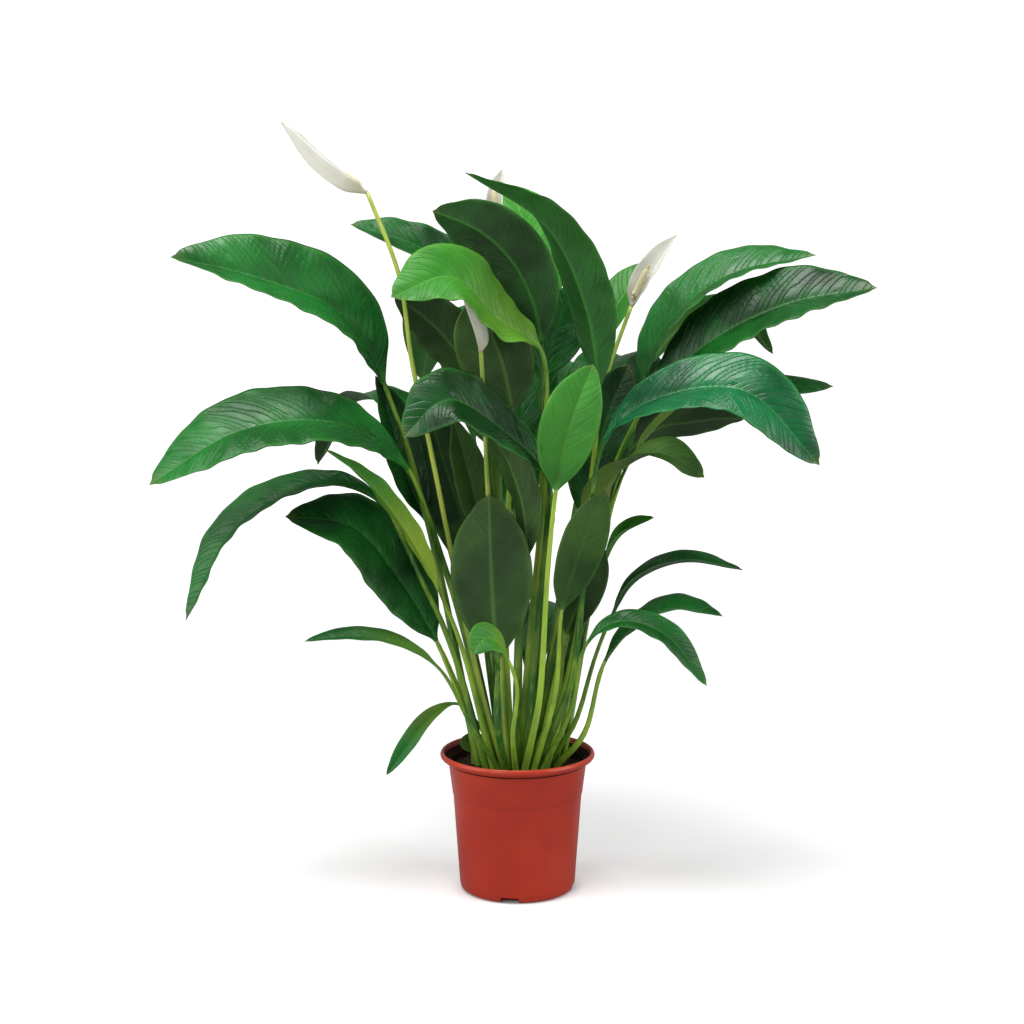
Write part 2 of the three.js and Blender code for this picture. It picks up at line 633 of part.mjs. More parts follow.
// The pot's outer radius at a height between the corner and the lip.
function wallRadius(height) {
  if (height < STEP_HEIGHT) {
    const below = (height - CORNER_RADIUS) / (STEP_HEIGHT - CORNER_RADIUS);
    return mix(FOOT_RADIUS + CORNER_REACH, STEP_RADIUS, below);
  }
  const share = (height - STEP_HEIGHT) / (POT_HEIGHT - LIP_DEPTH - STEP_HEIGHT);
  return mix(STEP_RADIUS + STEP_LEDGE, SHOULDER_RADIUS, share);
}

function potGeometry() {
  const lipBottom = POT_HEIGHT - LIP_DEPTH;
  const corner = [0.25, 0.5, 0.75, 1].map((share) => {
    const turn = (share * Math.PI) / 2;
    return [FOOT_RADIUS + Math.sin(turn) * CORNER_REACH, CORNER_RADIUS * (1 - Math.cos(turn))];
  });
  const wall = turned([
    [0, 0], [BOSS_RADIUS, 0], [BOSS_RADIUS + 1, FLOOR_RECESS],
    [FOOT_RADIUS - FOOT_WIDTH - 1, FLOOR_RECESS], [FOOT_RADIUS - FOOT_WIDTH, 0], [FOOT_RADIUS, 0],
    ...corner,
    [STEP_RADIUS, STEP_HEIGHT], [STEP_RADIUS + STEP_LEDGE, STEP_HEIGHT + STEP_LEDGE],
    [SHOULDER_RADIUS, lipBottom - 1], [SHOULDER_RADIUS + 1.5, lipBottom],
    [RIM_RADIUS - 2.5, lipBottom + 2.5], [RIM_RADIUS - 0.6, lipBottom + 4.5], [RIM_RADIUS, POT_HEIGHT - 3],
    [RIM_RADIUS - 0.8, POT_HEIGHT - 0.8], [RIM_RADIUS - 2.5, POT_HEIGHT], [RIM_RADIUS - 4, POT_HEIGHT - 0.6],
    [RIM_RADIUS - 5.5, lipBottom + 3], [SHOULDER_RADIUS - WALL, lipBottom - 3],
    [STEP_RADIUS + STEP_LEDGE - WALL, STEP_HEIGHT],
    [wallRadius(CORNER_RADIUS) - WALL, FLOOR_RECESS + WALL + 3],
    [wallRadius(CORNER_RADIUS) - WALL - 3, FLOOR_RECESS + WALL], [0, FLOOR_RECESS + WALL],
  ]);
  let pot = solidOf(wall);
  for (let k = 0; k < SLOT_COUNT; k += 1) {
    const depth = 2 * FOOT_WIDTH + 6;
    const slot = new THREE.BoxGeometry(depth, SLOT_WIDTH, 2 * SLOT_HEIGHT);
    slot.translate(FOOT_RADIUS - FOOT_WIDTH + depth / 2, 0, 0);
    slot.rotateZ(SLOT_TURN + (k * 2 * Math.PI) / SLOT_COUNT);
    pot = pot.subtract(solidOf(slot));
  }
  return geometryOf(pot);
}

function soilGeometry() {
  const floor = FLOOR_RECESS + WALL + SOIL_GAP;
  const inside = (height) => wallRadius(height) - WALL - SOIL_GAP;
  const block = turned([
    [0, floor], [inside(CORNER_RADIUS) - 4, floor], [inside(CORNER_RADIUS) - 0.4, floor + 4],
    [inside(STEP_HEIGHT) - STEP_LEDGE, STEP_HEIGHT], [inside(SOIL_EDGE) - 0.4, SOIL_EDGE],
    [SOIL_FLAT_RADIUS, SOIL_TOP], [0, SOIL_TOP],
  ]);
  return geometryOf(solidOf(block));
}

// --- Flowers ---------------------------------------------------------------------------------
// The stalk ends a hair's breadth under the spathe, which opens from the same collar.
function stalkGeometry(flower) {
  const rings = [];
  for (let i = 0; i <= STEM_STEPS; i += 1) rings.push(ringAt(flower, i));
  const top = flower.points[STEM_STEPS].clone();
  const back = flower.points[STEM_STEPS - 1].clone().sub(top).setLength(TOUCH_GAP);
  rings[STEM_STEPS].forEach((p) => p.add(back));
  return skin(rings, flower.points[0], top.add(back));
}

// A blunt column that stands in the spathe's hollow, on its own short neck.
function spadixGeometry(flower) {
  const { top } = frameAt(flower, STEM_STEPS + 1, 0);
  const collar = flower.points[STEM_STEPS];
  const along = flower.points[STEM_STEPS + 5].clone().sub(collar).normalize();
  const start = collar.clone().addScaledVector(top, SPADIX_STAND).addScaledVector(along, SPADIX_START);
  const lean = along.clone().addScaledVector(top, SPADIX_LEAN).normalize();
  const side = new THREE.Vector3().crossVectors(lean, top).normalize();
  const face = new THREE.Vector3().crossVectors(side, lean);
  const rings = SPADIX_OUTLINE.map(([height, width]) => {
    const centre = start.clone().addScaledVector(lean, height * SPADIX_LENGTH);
    return [0, 1, 2, 3, 4, 5, 6, 7].map((k) => {
      const angle = (k * Math.PI) / 4;
      return centre.clone()
        .addScaledVector(side, Math.cos(angle) * width * SPADIX_RADIUS)
        .addScaledVector(face, Math.sin(angle) * width * SPADIX_RADIUS);
    });
  });
  return skin(rings, start, start.clone().addScaledVector(lean, SPADIX_LENGTH));
}

// --- The whole plant -------------------------------------------------------------------------
const group = new THREE.Group();

function addPiece(name, geometry, colour) {
  geometry.computeVertexNormals();
  const piece = new THREE.Mesh(geometry, new THREE.MeshStandardMaterial(COLOURS[colour]));
  piece.name = name;
  group.add(piece);
}

const leaves = Object.entries(LEAVES).map(([name, leaf]) => makeLeaf(name, leaf));
leaves.push(...BACK_FAN.map(backLeaf));
const flowers = Object.entries(FLOWERS).map(makeFlower);
makeRoom([...leaves, ...flowers]);

addPiece('pot', potGeometry(), 'pot');
addPiece('soil', soilGeometry(), 'soil');
for (const leaf of leaves) addPiece(leaf.name, bladeGeometry(leaf, 0), leaf.colour);
for (const flower of flowers) {
  addPiece(`${flower.name}_stalk`, stalkGeometry(flower), 'stalk');
  addPiece(`${flower.name}_spathe`, bladeGeometry(flower, STEM_STEPS), 'spathe');
  if (flower.spadix) addPiece(`${flower.name}_spadix`, spadixGeometry(flower), 'spadix');
}

export default group;
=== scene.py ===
import json
import math
import random

import bmesh
import bpy
import numpy as np
from mathutils import Matrix, Vector


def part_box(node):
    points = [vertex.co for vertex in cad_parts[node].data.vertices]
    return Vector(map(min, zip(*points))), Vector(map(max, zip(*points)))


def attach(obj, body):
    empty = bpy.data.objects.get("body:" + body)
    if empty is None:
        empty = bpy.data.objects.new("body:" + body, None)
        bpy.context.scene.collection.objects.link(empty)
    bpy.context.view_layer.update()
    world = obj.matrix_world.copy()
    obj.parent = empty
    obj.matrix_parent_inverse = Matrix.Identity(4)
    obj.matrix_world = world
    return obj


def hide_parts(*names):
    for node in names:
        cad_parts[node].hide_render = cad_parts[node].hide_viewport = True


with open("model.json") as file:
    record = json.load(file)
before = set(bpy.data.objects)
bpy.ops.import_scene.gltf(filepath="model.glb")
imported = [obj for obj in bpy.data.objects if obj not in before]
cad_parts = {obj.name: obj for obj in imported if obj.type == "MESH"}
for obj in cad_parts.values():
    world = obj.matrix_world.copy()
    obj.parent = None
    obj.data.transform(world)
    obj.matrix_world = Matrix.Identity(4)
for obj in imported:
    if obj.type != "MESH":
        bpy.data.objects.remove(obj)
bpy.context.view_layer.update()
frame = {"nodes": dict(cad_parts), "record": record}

MM = 0.001
BODY = "root"
nodes = frame["nodes"]
slot_of = {part["node"]: part["material_slot"] for part in frame["record"]["subparts"]}

SOIL_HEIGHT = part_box("soil")[1].z

# Fineness of the grown surfaces, in metres along a blade and along a stalk.
BLADE_STEP = 1.7 * MM
STALK_STEP = 11 * MM

# Where the columns of a blade lie between the midrib and the margin.
HALF_COLUMNS = [0, 0.028, 0.065, 0.12, 0.19, 0.27, 0.36, 0.46, 0.56, 0.66, 0.76, 0.86, 0.94, 1]
COLUMNS = np.array([-x for x in HALF_COLUMNS[:0:-1]] + HALF_COLUMNS)

# How light each leaf is against its neighbours: 0 is the darkest, 1 the lightest, 0.5 the slot's own. The
# values are partly each leaf's own green and partly painted shade: leaves deep in the plant's shadow get the
# lowest.
LEAF_TONES_AND_PAINTED_SHADE = {
    "leaf_left_high": 0.62, "leaf_left_long": 0.6, "leaf_left_droop": 0.6, "leaf_left_low_arch": 0.32,
    "leaf_left_thin": 0.75, "leaf_left_strap": 0.6, "leaf_crown_left": 0.3, "leaf_crown_dark": 0.2,
    "leaf_crown_bright": 0.38, "leaf_crown_shade": 0.1, "leaf_gloss_left": 0.2, "leaf_centre_front": 0.45,
    "leaf_back_top": 0.6, "leaf_top_arch": 0.7, "leaf_back_right_tip": 0.6, "leaf_right_high": 0.6,
    "leaf_right_long": 0.15, "leaf_right_broad": 0.35, "leaf_right_back_tip": 0.35, "leaf_right_twist": 0.4,
    "leaf_centre_bright": 0.55, "leaf_centre_dark": 0.0, "leaf_centre_hang": 0.5, "leaf_low_olive": 0.3,
    "leaf_low_small": 0.45, "leaf_right_olive": 0.5, "leaf_right_needle": 0.4, "leaf_right_veined": 0.35,
    "leaf_right_bend": 0.6, "leaf_right_under": 0.1, "leaf_right_core": 0.15, "leaf_back_gloss": 0.4,
    "leaf_mid_upright": 0.4, "leaf_shade_back": 0.05, "leaf_left_spear": 0.85, "leaf_left_ridge": 0.15,
    "leaf_low_right_top": 0.5, "leaf_low_right_mid": 0.6, "leaf_low_right_drop": 0.55,
    "leaf_pot_round": 0.95,
}
# Leaves that are yellow-green on the half next to their stalk.
PALE_FEET = {
    "leaf_left_spear": 0.9, "leaf_left_thin": 0.3, "leaf_crown_bright": 0.25, "leaf_low_small": 0.4,
    "leaf_right_bend": 0.25, "leaf_left_strap": 0.3, "leaf_right_twist": 0.3, "leaf_pot_round": 0.2,
}
# How yellow each leaf's stalk is; the others are mid-green.
BRIGHT_STALKS = {
    "leaf_centre_bright": 1.0, "leaf_centre_front": 0.75, "leaf_right_olive": 0.85, "leaf_low_small": 0.8,
    "leaf_right_bend": 0.7, "leaf_top_arch": 0.8, "leaf_low_right_mid": 0.6, "leaf_left_spear": 0.6,
    "leaf_left_low_arch": 0.5, "leaf_crown_bright": 0.55, "leaf_right_veined": 0.7,
}


# --- Shader helpers ---------------------------------------------------------------------------

NUMBER = "NodeSocketFloat"
COLOUR = "NodeSocketColor"


def new_material(name):
    material = bpy.data.materials.new(name)
    material.use_nodes = True
    material.node_tree.nodes.clear()
    return material


class Tree:
    """Adds nodes to a material or a node group and links them."""

    def __init__(self, tree):
        self.tree = tree

    def add(self, kind, **inputs):
        node = self.tree.nodes.new(kind)
        for key, value in inputs.items():
            socket = node.inputs[int(key[1:])] if key[0] == "_" else node.inputs[key.replace("_", " ")]
            self.feed(socket, value)
        return node

    def feed(self, socket, value):
        if isinstance(value, bpy.types.NodeSocket):
            self.tree.links.new(value, socket)
        elif isinstance(value, (tuple, list)) and len(value) == 3 and socket.type == "RGBA":
            socket.default_value = (*value, 1)
        else:
            socket.default_value = value

    def attribute(self, name):
        node = self.tree.nodes.new("ShaderNodeAttribute")
        node.attribute_name = name
        return node.outputs["Fac"]

    def math(self, operation, a, b=0.0, clamp=False):
        node = self.add("ShaderNodeMath", _0=a, _1=b)
        node.operation = operation
        node.use_clamp = clamp
        return node.outputs[0]

    def blend(self, share, a, b):
        node = self.tree.nodes.new("ShaderNodeMix")
        node.data_type = "RGBA"
        self.feed(node.inputs["Factor"], share)
        self.feed(node.inputs[6], a)
        self.feed(node.inputs[7], b)
        return node.outputs[2]

    def between(self, value, low, high, to_low=0.0, to_high=1.0):
        node = self.add("ShaderNodeMapRange", Value=value)
        node.inputs["From Min"].default_value = low
        node.inputs["From Max"].default_value = high
        node.inputs["To Min"].default_value = to_low
        node.inputs["To Max"].default_value = to_high
        node.interpolation_type = "SMOOTHSTEP"
        return node.outputs["Result"]

    def noise(self, scale, detail=3.0, roughness=0.55, stretch=None):
        where = self.tree.nodes.new("ShaderNodeTexCoord").outputs["Object"]
        if stretch:
            mapping = self.add("ShaderNodeMapping", Vector=where)
            mapping.inputs["Scale"].default_value = stretch
            where = mapping.outputs[0]
        node = self.add("ShaderNodeTexNoise", Vector=where)
        node.inputs["Scale"].default_value = scale
        node.inputs["Detail"].default_value = detail
        node.inputs["Roughness"].default_value = roughness
        return node.outputs["Fac"]

    def distance_to_row(self, row):
        """How far a value lies from the nearest whole number."""
        return self.math("ABSOLUTE", self.math("SUBTRACT", row, self.math("ROUND", row)))

    def group(self, group, **inputs):
        node = self.tree.nodes.new("ShaderNodeGroup")
        node.node_tree = group
        for key, value in inputs.items():
            self.feed(node.inputs[key.replace("_", " ")], value)
        return node.outputs

    def finish(self, shader):
        out = self.tree.nodes.new("ShaderNodeOutputMaterial")
        self.tree.links.new(shader, out.inputs["Surface"])


def new_group(name, inputs, outputs):
    group = bpy.data.node_groups.new(name, "ShaderNodeTree")
    for label, kind, value in inputs:
        socket = group.interface.new_socket(label, in_out="INPUT", socket_type=kind)
        socket.default_value = value
    for label, kind in outputs:
        group.interface.new_socket(label, in_out="OUTPUT", socket_type=kind)
    given = group.nodes.new("NodeGroupInput").outputs
    out = group.nodes.new("NodeGroupOutput").inputs
    return group, Tree(group), given, out


# How many fine veins lie between two side veins.
FINE_VEINS = 5.0


def leaf_veins_group():
    """Side veins, the fine veins between them and the midrib, as masks and one height."""
    group, tree, given, out = new_group(
        "leaf_veins",
        [("Row", NUMBER, 0.0), ("Rib", NUMBER, 0.0), ("Vein Width", NUMBER, 0.12)],
        [("Vein", NUMBER), ("Fine", NUMBER), ("Height", NUMBER)])
    wander = tree.math("MULTIPLY", tree.math("SUBTRACT", tree.noise(90, 2), 0.5), 0.22)
    row = tree.math("ADD", given["Row"], wander)
    nearest = tree.math("DIVIDE", tree.distance_to_row(row), given["Vein Width"])
    vein = tree.math("SUBTRACT", 1.0, nearest, clamp=True)
    fine_near = tree.distance_to_row(tree.math("MULTIPLY", row, FINE_VEINS))
    fine = tree.math("SUBTRACT", 1.0, tree.math("MULTIPLY", fine_near, 3.2), clamp=True)
    pulp = tree.noise(900, 2)
    height = tree.math("ADD", tree.math("MULTIPLY", vein, -0.8), tree.math("MULTIPLY", fine, -0.22))
    height = tree.math("ADD", height, tree.math("MULTIPLY", pulp, 0.35))
    tree.feed(out["Vein"], tree.math("MULTIPLY", vein, tree.math("SUBTRACT", 1.0, given["Rib"])))
    tree.feed(out["Fine"], fine)
    tree.feed(out["Height"], height)
    return group


def patches_group():
    """Slow changes of colour over a grown surface, and small blemishes."""
    group, tree, given, out = new_group(
        "grown_patches",
        [("Dark", COLOUR, (0, 0, 0, 1)), ("Light", COLOUR, (1, 1, 1, 1)), ("Tone", NUMBER, 0.5)],
        [("Colour", COLOUR), ("Blemish", NUMBER)])
    broad = tree.between(tree.noise(13, 2), 0.35, 0.65)
    small = tree.noise(70, 4)
    share = tree.math("ADD", tree.math("MULTIPLY", broad, 0.5), tree.math("MULTIPLY", small, 0.3))
    share = tree.math("ADD", share, tree.math("SUBTRACT", given["Tone"], 0.4), clamp=True)
    tree.feed(out["Colour"], tree.blend(share, given["Dark"], given["Light"]))
    tree.feed(out["Blemish"], tree.between(tree.noise(160, 3, 0.7), 0.7, 0.82))
    return group


def wear_group():
    """Fine scratches and handling marks on moulded plastic, dusty or dry spots, as masks and a height."""
    group, tree, given, out = new_group(
        "handling_marks",
        [("Amount", NUMBER, 0.5)],
        [("Scratch", NUMBER), ("Dust", NUMBER), ("Height", NUMBER)])
    scratch = tree.between(tree.noise(60, 6, 0.75, (1, 1, 9)), 0.6, 0.72)
    dust = tree.between(tree.noise(22, 5, 0.7), 0.52, 0.75)
    tree.feed(out["Scratch"], tree.math("MULTIPLY", scratch, given["Amount"]))
    tree.feed(out["Dust"], tree.math("MULTIPLY", dust, given["Amount"]))
    tree.feed(out["Height"], tree.math("ADD", tree.math("MULTIPLY", tree.noise(700, 2), 0.6), scratch))
    return group


LEAF_VEINS = leaf_veins_group()
PATCHES = patches_group()
HANDLING = wear_group()


def principled(tree, colour, roughness, normal, **fixed):
    shader = tree.add("ShaderNodeBsdfPrincipled", Base_Color=colour, Roughness=roughness)
    if normal is not None:
        tree.feed(shader.inputs["Normal"], normal)
    for key, value in fixed.items():
        shader.inputs[key.replace("_", " ")].default_value = value
    return shader.outputs[0]


def bump(tree, height, strength, distance):
    node = tree.add("ShaderNodeBump", Height=height)
    node.inputs["Strength"].default_value = strength
    node.inputs["Distance"].default_value = distance
    return node.outputs[0]


def thin_skin(tree, face, lit, share):
    """Lets some of the light that falls on the far side come through a thin skin."""
    shining = tree.add("ShaderNodeBsdfTranslucent", Color=lit)
    mix = tree.add("ShaderNodeMixShader", _1=face, _2=shining.outputs[0])
    mix.inputs[0].default_value = share
    return mix.outputs[0]


def leaf_material(name, dark, light, vein, rib, through, roughness, gloss, glow):
    """A leaf's face: patches of two greens, veins, a paler midrib, and light that comes through."""
    material = new_material(name)
    tree = Tree(material.node_tree)
    rib_near = tree.attribute("rib_near")
    along = tree.attribute("along")
    veins = tree.group(LEAF_VEINS, Row=tree.attribute("vein_row"), Rib=rib_near)
    # The tone attribute also darkens the leaves in the plant's shadow, as painted shade.
    patches = tree.group(PATCHES, Dark=dark, Light=light, Tone=tree.attribute("tone"))
    fade = tree.between(tree.noise(28, 2), 0.35, 0.65, 0.1, 0.6)
    colour = tree.blend(tree.math("MULTIPLY", veins["Vein"], fade), patches["Colour"], vein)
    colour = tree.blend(tree.math("MULTIPLY", veins["Fine"], 0.12), colour, vein)
    colour = tree.blend(rib_near, colour, rib)
    foot = tree.math("MULTIPLY", tree.between(along, 0.2, 0.75, 1.0, 0.0), tree.attribute("pale_foot"))
    colour = tree.blend(foot, colour, (0.34, 0.5, 0.04))
    tip = tree.between(along, 0.93, 1.0)
    colour = tree.blend(tree.math("MULTIPLY", tip, 0.4), colour, (0.14, 0.16, 0.03))
    margin = tree.between(tree.attribute("edge_near"), 0.82, 1.0)
    colour = tree.blend(tree.math("MULTIPLY", margin, 0.35), colour, rib)
    colour = tree.blend(tree.math("MULTIPLY", patches["Blemish"], 0.2), colour, light)
    rough = tree.between(tree.noise(40, 3), 0.25, 0.75, roughness - 0.06, roughness + 0.1)
    normal = bump(tree, veins["Height"], 0.55, 0.0006)
    face = principled(tree, colour, rough, normal, Specular_IOR_Level=gloss)
    tree.finish(thin_skin(tree, face, tree.blend(0.5, colour, through), glow))
    return material


def stalk_material(name, shade, bright, roughness):
    """A smooth juicy stalk: green to yellow-green, with fine lines along it and a paler foot."""
    material = new_material(name)
    tree = Tree(material.node_tree)
    yellow = tree.attribute("stalk_tone")
    lines = tree.noise(260, 3, 0.6, (1, 1, 0.06))
    tone = tree.math("ADD", tree.math("MULTIPLY", yellow, 0.85), 0.04)
    patches = tree.group(PATCHES, Dark=shade, Light=bright, Tone=tone)
    foot = tree.between(tree.attribute("along"), 0.0, 0.35, 1.0, 0.0)
    colour = tree.blend(tree.math("MULTIPLY", foot, 0.22), patches["Colour"], (0.24, 0.42, 0.07))
    colour = tree.blend(tree.between(lines, 0.5, 0.68, 0.0, 0.32), colour, bright)
    colour = tree.blend(tree.between(lines, 0.34, 0.48, 0.2, 0.0), colour, shade)
    colour = tree.blend(tree.math("MULTIPLY", patches["Blemish"], 0.12), colour, (0.12, 0.12, 0.03))
    rough = tree.between(lines, 0.3, 0.7, roughness, roughness + 0.15)
    normal = bump(tree, lines, 0.25, 0.0005)
    tree.finish(principled(tree, colour, rough, normal, Specular_IOR_Level=0.5))
    return material


def spathe_material():
    """The white hood: waxy, cream at its foot, faint long veins, a green trace on its back rib."""
    material = new_material("spathe_white")
    tree = Tree(material.node_tree)
    along = tree.attribute("along")
    line = tree.distance_to_row(tree.attribute("vein_row"))
    vein = tree.math("SUBTRACT", 1.0, tree.math("MULTIPLY", line, 3.5), clamp=True)
    tone = tree.attribute("tone")
    patches = tree.group(PATCHES, Dark=(0.88, 0.86, 0.79), Light=(0.96, 0.955, 0.92), Tone=tone)
    foot = tree.between(along, 0.0, 0.3, 1.0, 0.0)
    colour = tree.blend(tree.math("MULTIPLY", foot, 0.5), patches["Colour"], (0.62, 0.56, 0.36))
    colour = tree.blend(tree.math("MULTIPLY", vein, 0.14), colour, (0.6, 0.62, 0.4))
    colour = tree.blend(tree.math("MULTIPLY", tree.attribute("rib_near"), 0.35), colour, (0.4, 0.5, 0.2))
    tip = tree.between(along, 0.94, 1.0)
    colour = tree.blend(tree.math("MULTIPLY", tip, 0.5), colour, (0.45, 0.42, 0.2))
    rough = tree.between(tree.noise(60, 3), 0.3, 0.7, 0.42, 0.56)
    normal = bump(tree, tree.math("ADD", vein, tree.noise(600, 2)), 0.3, 0.0005)
    face = principled(tree, colour, rough, normal, Specular_IOR_Level=0.45)
    tree.finish(thin_skin(tree, face, colour, 0.5))
    return material


def spadix_material():
    """Cream knobs that are paler on top and yellow-green in the hollows between them."""
    material = new_material("spadix_cream")
    tree = Tree(material.node_tree)
    knob = tree.attribute("knob")
    patches = tree.group(PATCHES, Dark=(0.5, 0.44, 0.2), Light=(0.82, 0.78, 0.52), Tone=knob)
    colour = tree.blend(tree.between(knob, 0.75, 1.0), patches["Colour"], (0.88, 0.86, 0.7))
    rough = tree.between(tree.noise(300, 3), 0.3, 0.7, 0.55, 0.75)
    normal = bump(tree, tree.noise(1200, 3), 0.5, 0.0004)
    tree.finish(principled(tree, colour, rough, normal))
    return material


def pot_material():
    """Moulded terracotta-red plastic: soft gloss, a painted highlight along the rim's top, a lighter foot
    edge and a little dust.
    """
    material = new_material("pot_plastic")
    tree = Tree(material.node_tree)
    marks = tree.group(HANDLING, Amount=0.6)
    patches = tree.group(PATCHES, Dark=(0.38, 0.016, 0.003), Light=(0.50, 0.032, 0.006), Tone=0.4)
    colour = tree.blend(tree.math("MULTIPLY", marks["Dust"], 0.03), patches["Colour"], (0.5, 0.22, 0.14))
    colour = tree.blend(tree.math("MULTIPLY", marks["Scratch"], 0.06), colour, (0.55, 0.14, 0.08))
    # Painted highlight: the rim's top is coloured a lighter orange-red, and so is the foot's edge.
    colour = tree.blend(tree.math("MULTIPLY", tree.attribute("rim_highlight_and_foot_edge"), 0.4), colour, (0.62, 0.085, 0.03))
    rough = tree.between(tree.noise(35, 4), 0.3, 0.7, 0.34, 0.42)
    rough = tree.math("ADD", rough, tree.math("MULTIPLY", marks["Scratch"], 0.15), clamp=True)
    normal = bump(tree, marks["Height"], 0.04, 0.0002)
    face = principled(
        tree, colour, rough, normal, Specular_IOR_Level=0.3, Coat_Weight=0.3, Coat_Roughness=0.12)
    tree.finish(face)
    return material


def pot_inner_shade_material():
    """The matt inner wall, painted near-black in uneven patches: painted shade inside the pot."""
    material = new_material("pot_inner_wall_painted_shade")
    tree = Tree(material.node_tree)
    shade_patches = tree.between(tree.noise(45, 4), 0.35, 0.7)
    # Painted shade: the inner wall is coloured near-black, as the shade that falls inside the pot.
    colour = tree.blend(shade_patches, (0.035, 0.008, 0.005), (0.012, 0.006, 0.004))
    tree.finish(principled(tree, colour, 0.85, None, Specular_IOR_Level=0.2))
    return material


def soil_material():
    """Moist peat: near-black crumbs, brown fibres and a few pale grains."""
    material = new_material("potting_mix")
    tree = Tree(material.node_tree)
    grain = tree.noise(420, 6, 0.7)
    damp = tree.between(tree.noise(30, 3), 0.35, 0.65)
    colour = tree.blend(grain, (0.010, 0.007, 0.005), (0.045, 0.028, 0.018))
    colour = tree.blend(tree.math("MULTIPLY", tree.attribute("tone"), 0.9), colour, (0.13, 0.075, 0.04))
    colour = tree.blend(tree.math("MULTIPLY", damp, 0.5), colour, (0.008, 0.006, 0.005))
    rough = tree.between(damp, 0.0, 1.0, 0.95, 0.7)
    normal = bump(tree, grain, 0.9, 0.0012)
    tree.finish(principled(tree, colour, rough, normal))
    return material


# --- Reading the grown shapes back from the frame ----------------------------------------------

RING_POINTS = 8


def welded(node):
    """The node's corner points, each once, and which of them share an edge."""
    mesh = nodes[node].data
    index_of, points, name = {}, [], []
    for vertex in mesh.vertices:
        key = tuple(round(c, 7) for c in vertex.co)
        if key not in index_of:
            index_of[key] = len(points)
            points.append(key)
        name.append(index_of[key])
    near = [set() for _ in points]
    for face in mesh.polygons:
        corners = [name[v] for v in face.vertices]
        for a, b in zip(corners, corners[1:] + corners[:1]):
            near[a].add(b)
            near[b].add(a)
    return np.array(points), near


def roundness(points, ring):
    """How unevenly a ring's points lie round their centre: the round foot end has the least."""
    reach = np.linalg.norm(points[ring] - points[ring].mean(0), axis=1)
    return reach.std() / reach.mean()


def unlikeness(ring, other):
    """How much two rings differ once their centres are laid on each other."""
    return np.linalg.norm((ring - ring.mean(0)) - (other - other.mean(0)), axis=1).sum()


def walked(start, members, near):
    """The members of a ring in the order in which they follow each other."""
    ring = [start]
    while len(ring) < RING_POINTS:
        ring.append(next(i for i in sorted(near[ring[-1]]) if i in members and i not in ring))
    return ring


def rings_of(node, grown_from_soil):
    """The rings of eight points that a node is made of, from foot to tip, and its two end points."""
    points, near = welded(node)
    ends = [i for i, around in enumerate(near) if len(around) == RING_POINTS]
    if grown_from_soil:
        ends.sort(key=lambda i: abs(points[i][2] - SOIL_HEIGHT) + math.hypot(*points[i][:2]))
    else:
        ends.sort(key=lambda i: roundness(points, sorted(near[i])))
    foot, tip = ends[0], ends[-1]
    rings, seen = [walked(min(near[foot]), near[foot], near)], {foot}
    while True:
        below = rings[-1]
        seen |= set(below)
        above = {i for k in below for i in near[k]} - seen - {tip}
        if not above:
            break
        fits = []
        for start in sorted(above & near[below[0]]):
            ring = walked(start, above, near)
            for turn in (ring, ring[:1] + ring[:0:-1]):
                if all(b in near[a] for a, b in zip(below, turn)):
                    fits.append(turn)
        rings.append(min(fits, key=lambda ring: unlikeness(points[ring], points[below])))
    return points[np.array(rings)], points[tip], points[foot]


def in_leaf_order(rings):
    """Turns every ring so that it runs margin, upper face, margin, under face."""
    spans = [np.linalg.norm(rings[:, k] - rings[:, k + 4], axis=1).max() for k in range(4)]
    first = int(np.argmax(spans))
    rings = np.roll(rings, -first, axis=1)
    middle = (rings[:, 0] + rings[:, 4]) / 2
    centre = (rings[:, 2] + rings[:, 6]) / 2
    wide = np.linalg.norm(rings[:, 0] - rings[:, 4], axis=1) > 0.6 * max(spans)
    up = (middle - centre)[wide]
    if ((rings[wide, 2] - centre[wide]) * up).sum() < 0:
        rings = rings[:, [0, 7, 6, 5, 4, 3, 2, 1]]
    return rings


# --- Growing a fine surface on the rings -------------------------------------------------------

def through(knots, values, wanted):
    """A smooth curve that passes `values` at `knots`, read at the `wanted` places."""
    gap = np.diff(knots)
    shape = (-1,) + (1,) * (values.ndim - 1)
    slope = np.diff(values, axis=0) / gap.reshape(shape)
    turn = np.empty_like(values)
    before, after = gap[:-1].reshape(shape), gap[1:].reshape(shape)
    turn[1:-1] = (after * slope[:-1] + before * slope[1:]) / (before + after)
    turn[0], turn[-1] = slope[0], slope[-1]
    i = np.clip(np.searchsorted(knots, wanted, "right") - 1, 0, len(gap) - 1)
    t = ((wanted - knots[i]) / gap[i]).reshape(shape)
    g = gap[i].reshape(shape)
    return ((2 * t**3 - 3 * t**2 + 1) * values[i] + (t**3 - 2 * t**2 + t) * g * turn[i]
            + (3 * t**2 - 2 * t**3) * values[i + 1] + (t**3 - t**2) * g * turn[i + 1])


def smoothstep(low, high, x):
    t = np.clip((x - low) / (high - low), 0, 1)
    return t * t * (3 - 2 * t)


def lengths_along(points):
    return np.concatenate([[0], np.cumsum(np.linalg.norm(np.diff(points, axis=0), axis=1))])


TIP_SHARE = 0.1
TIP_SLENDERNESS = 0.16
POINT_HALF_WIDTH = 1.1 * MM


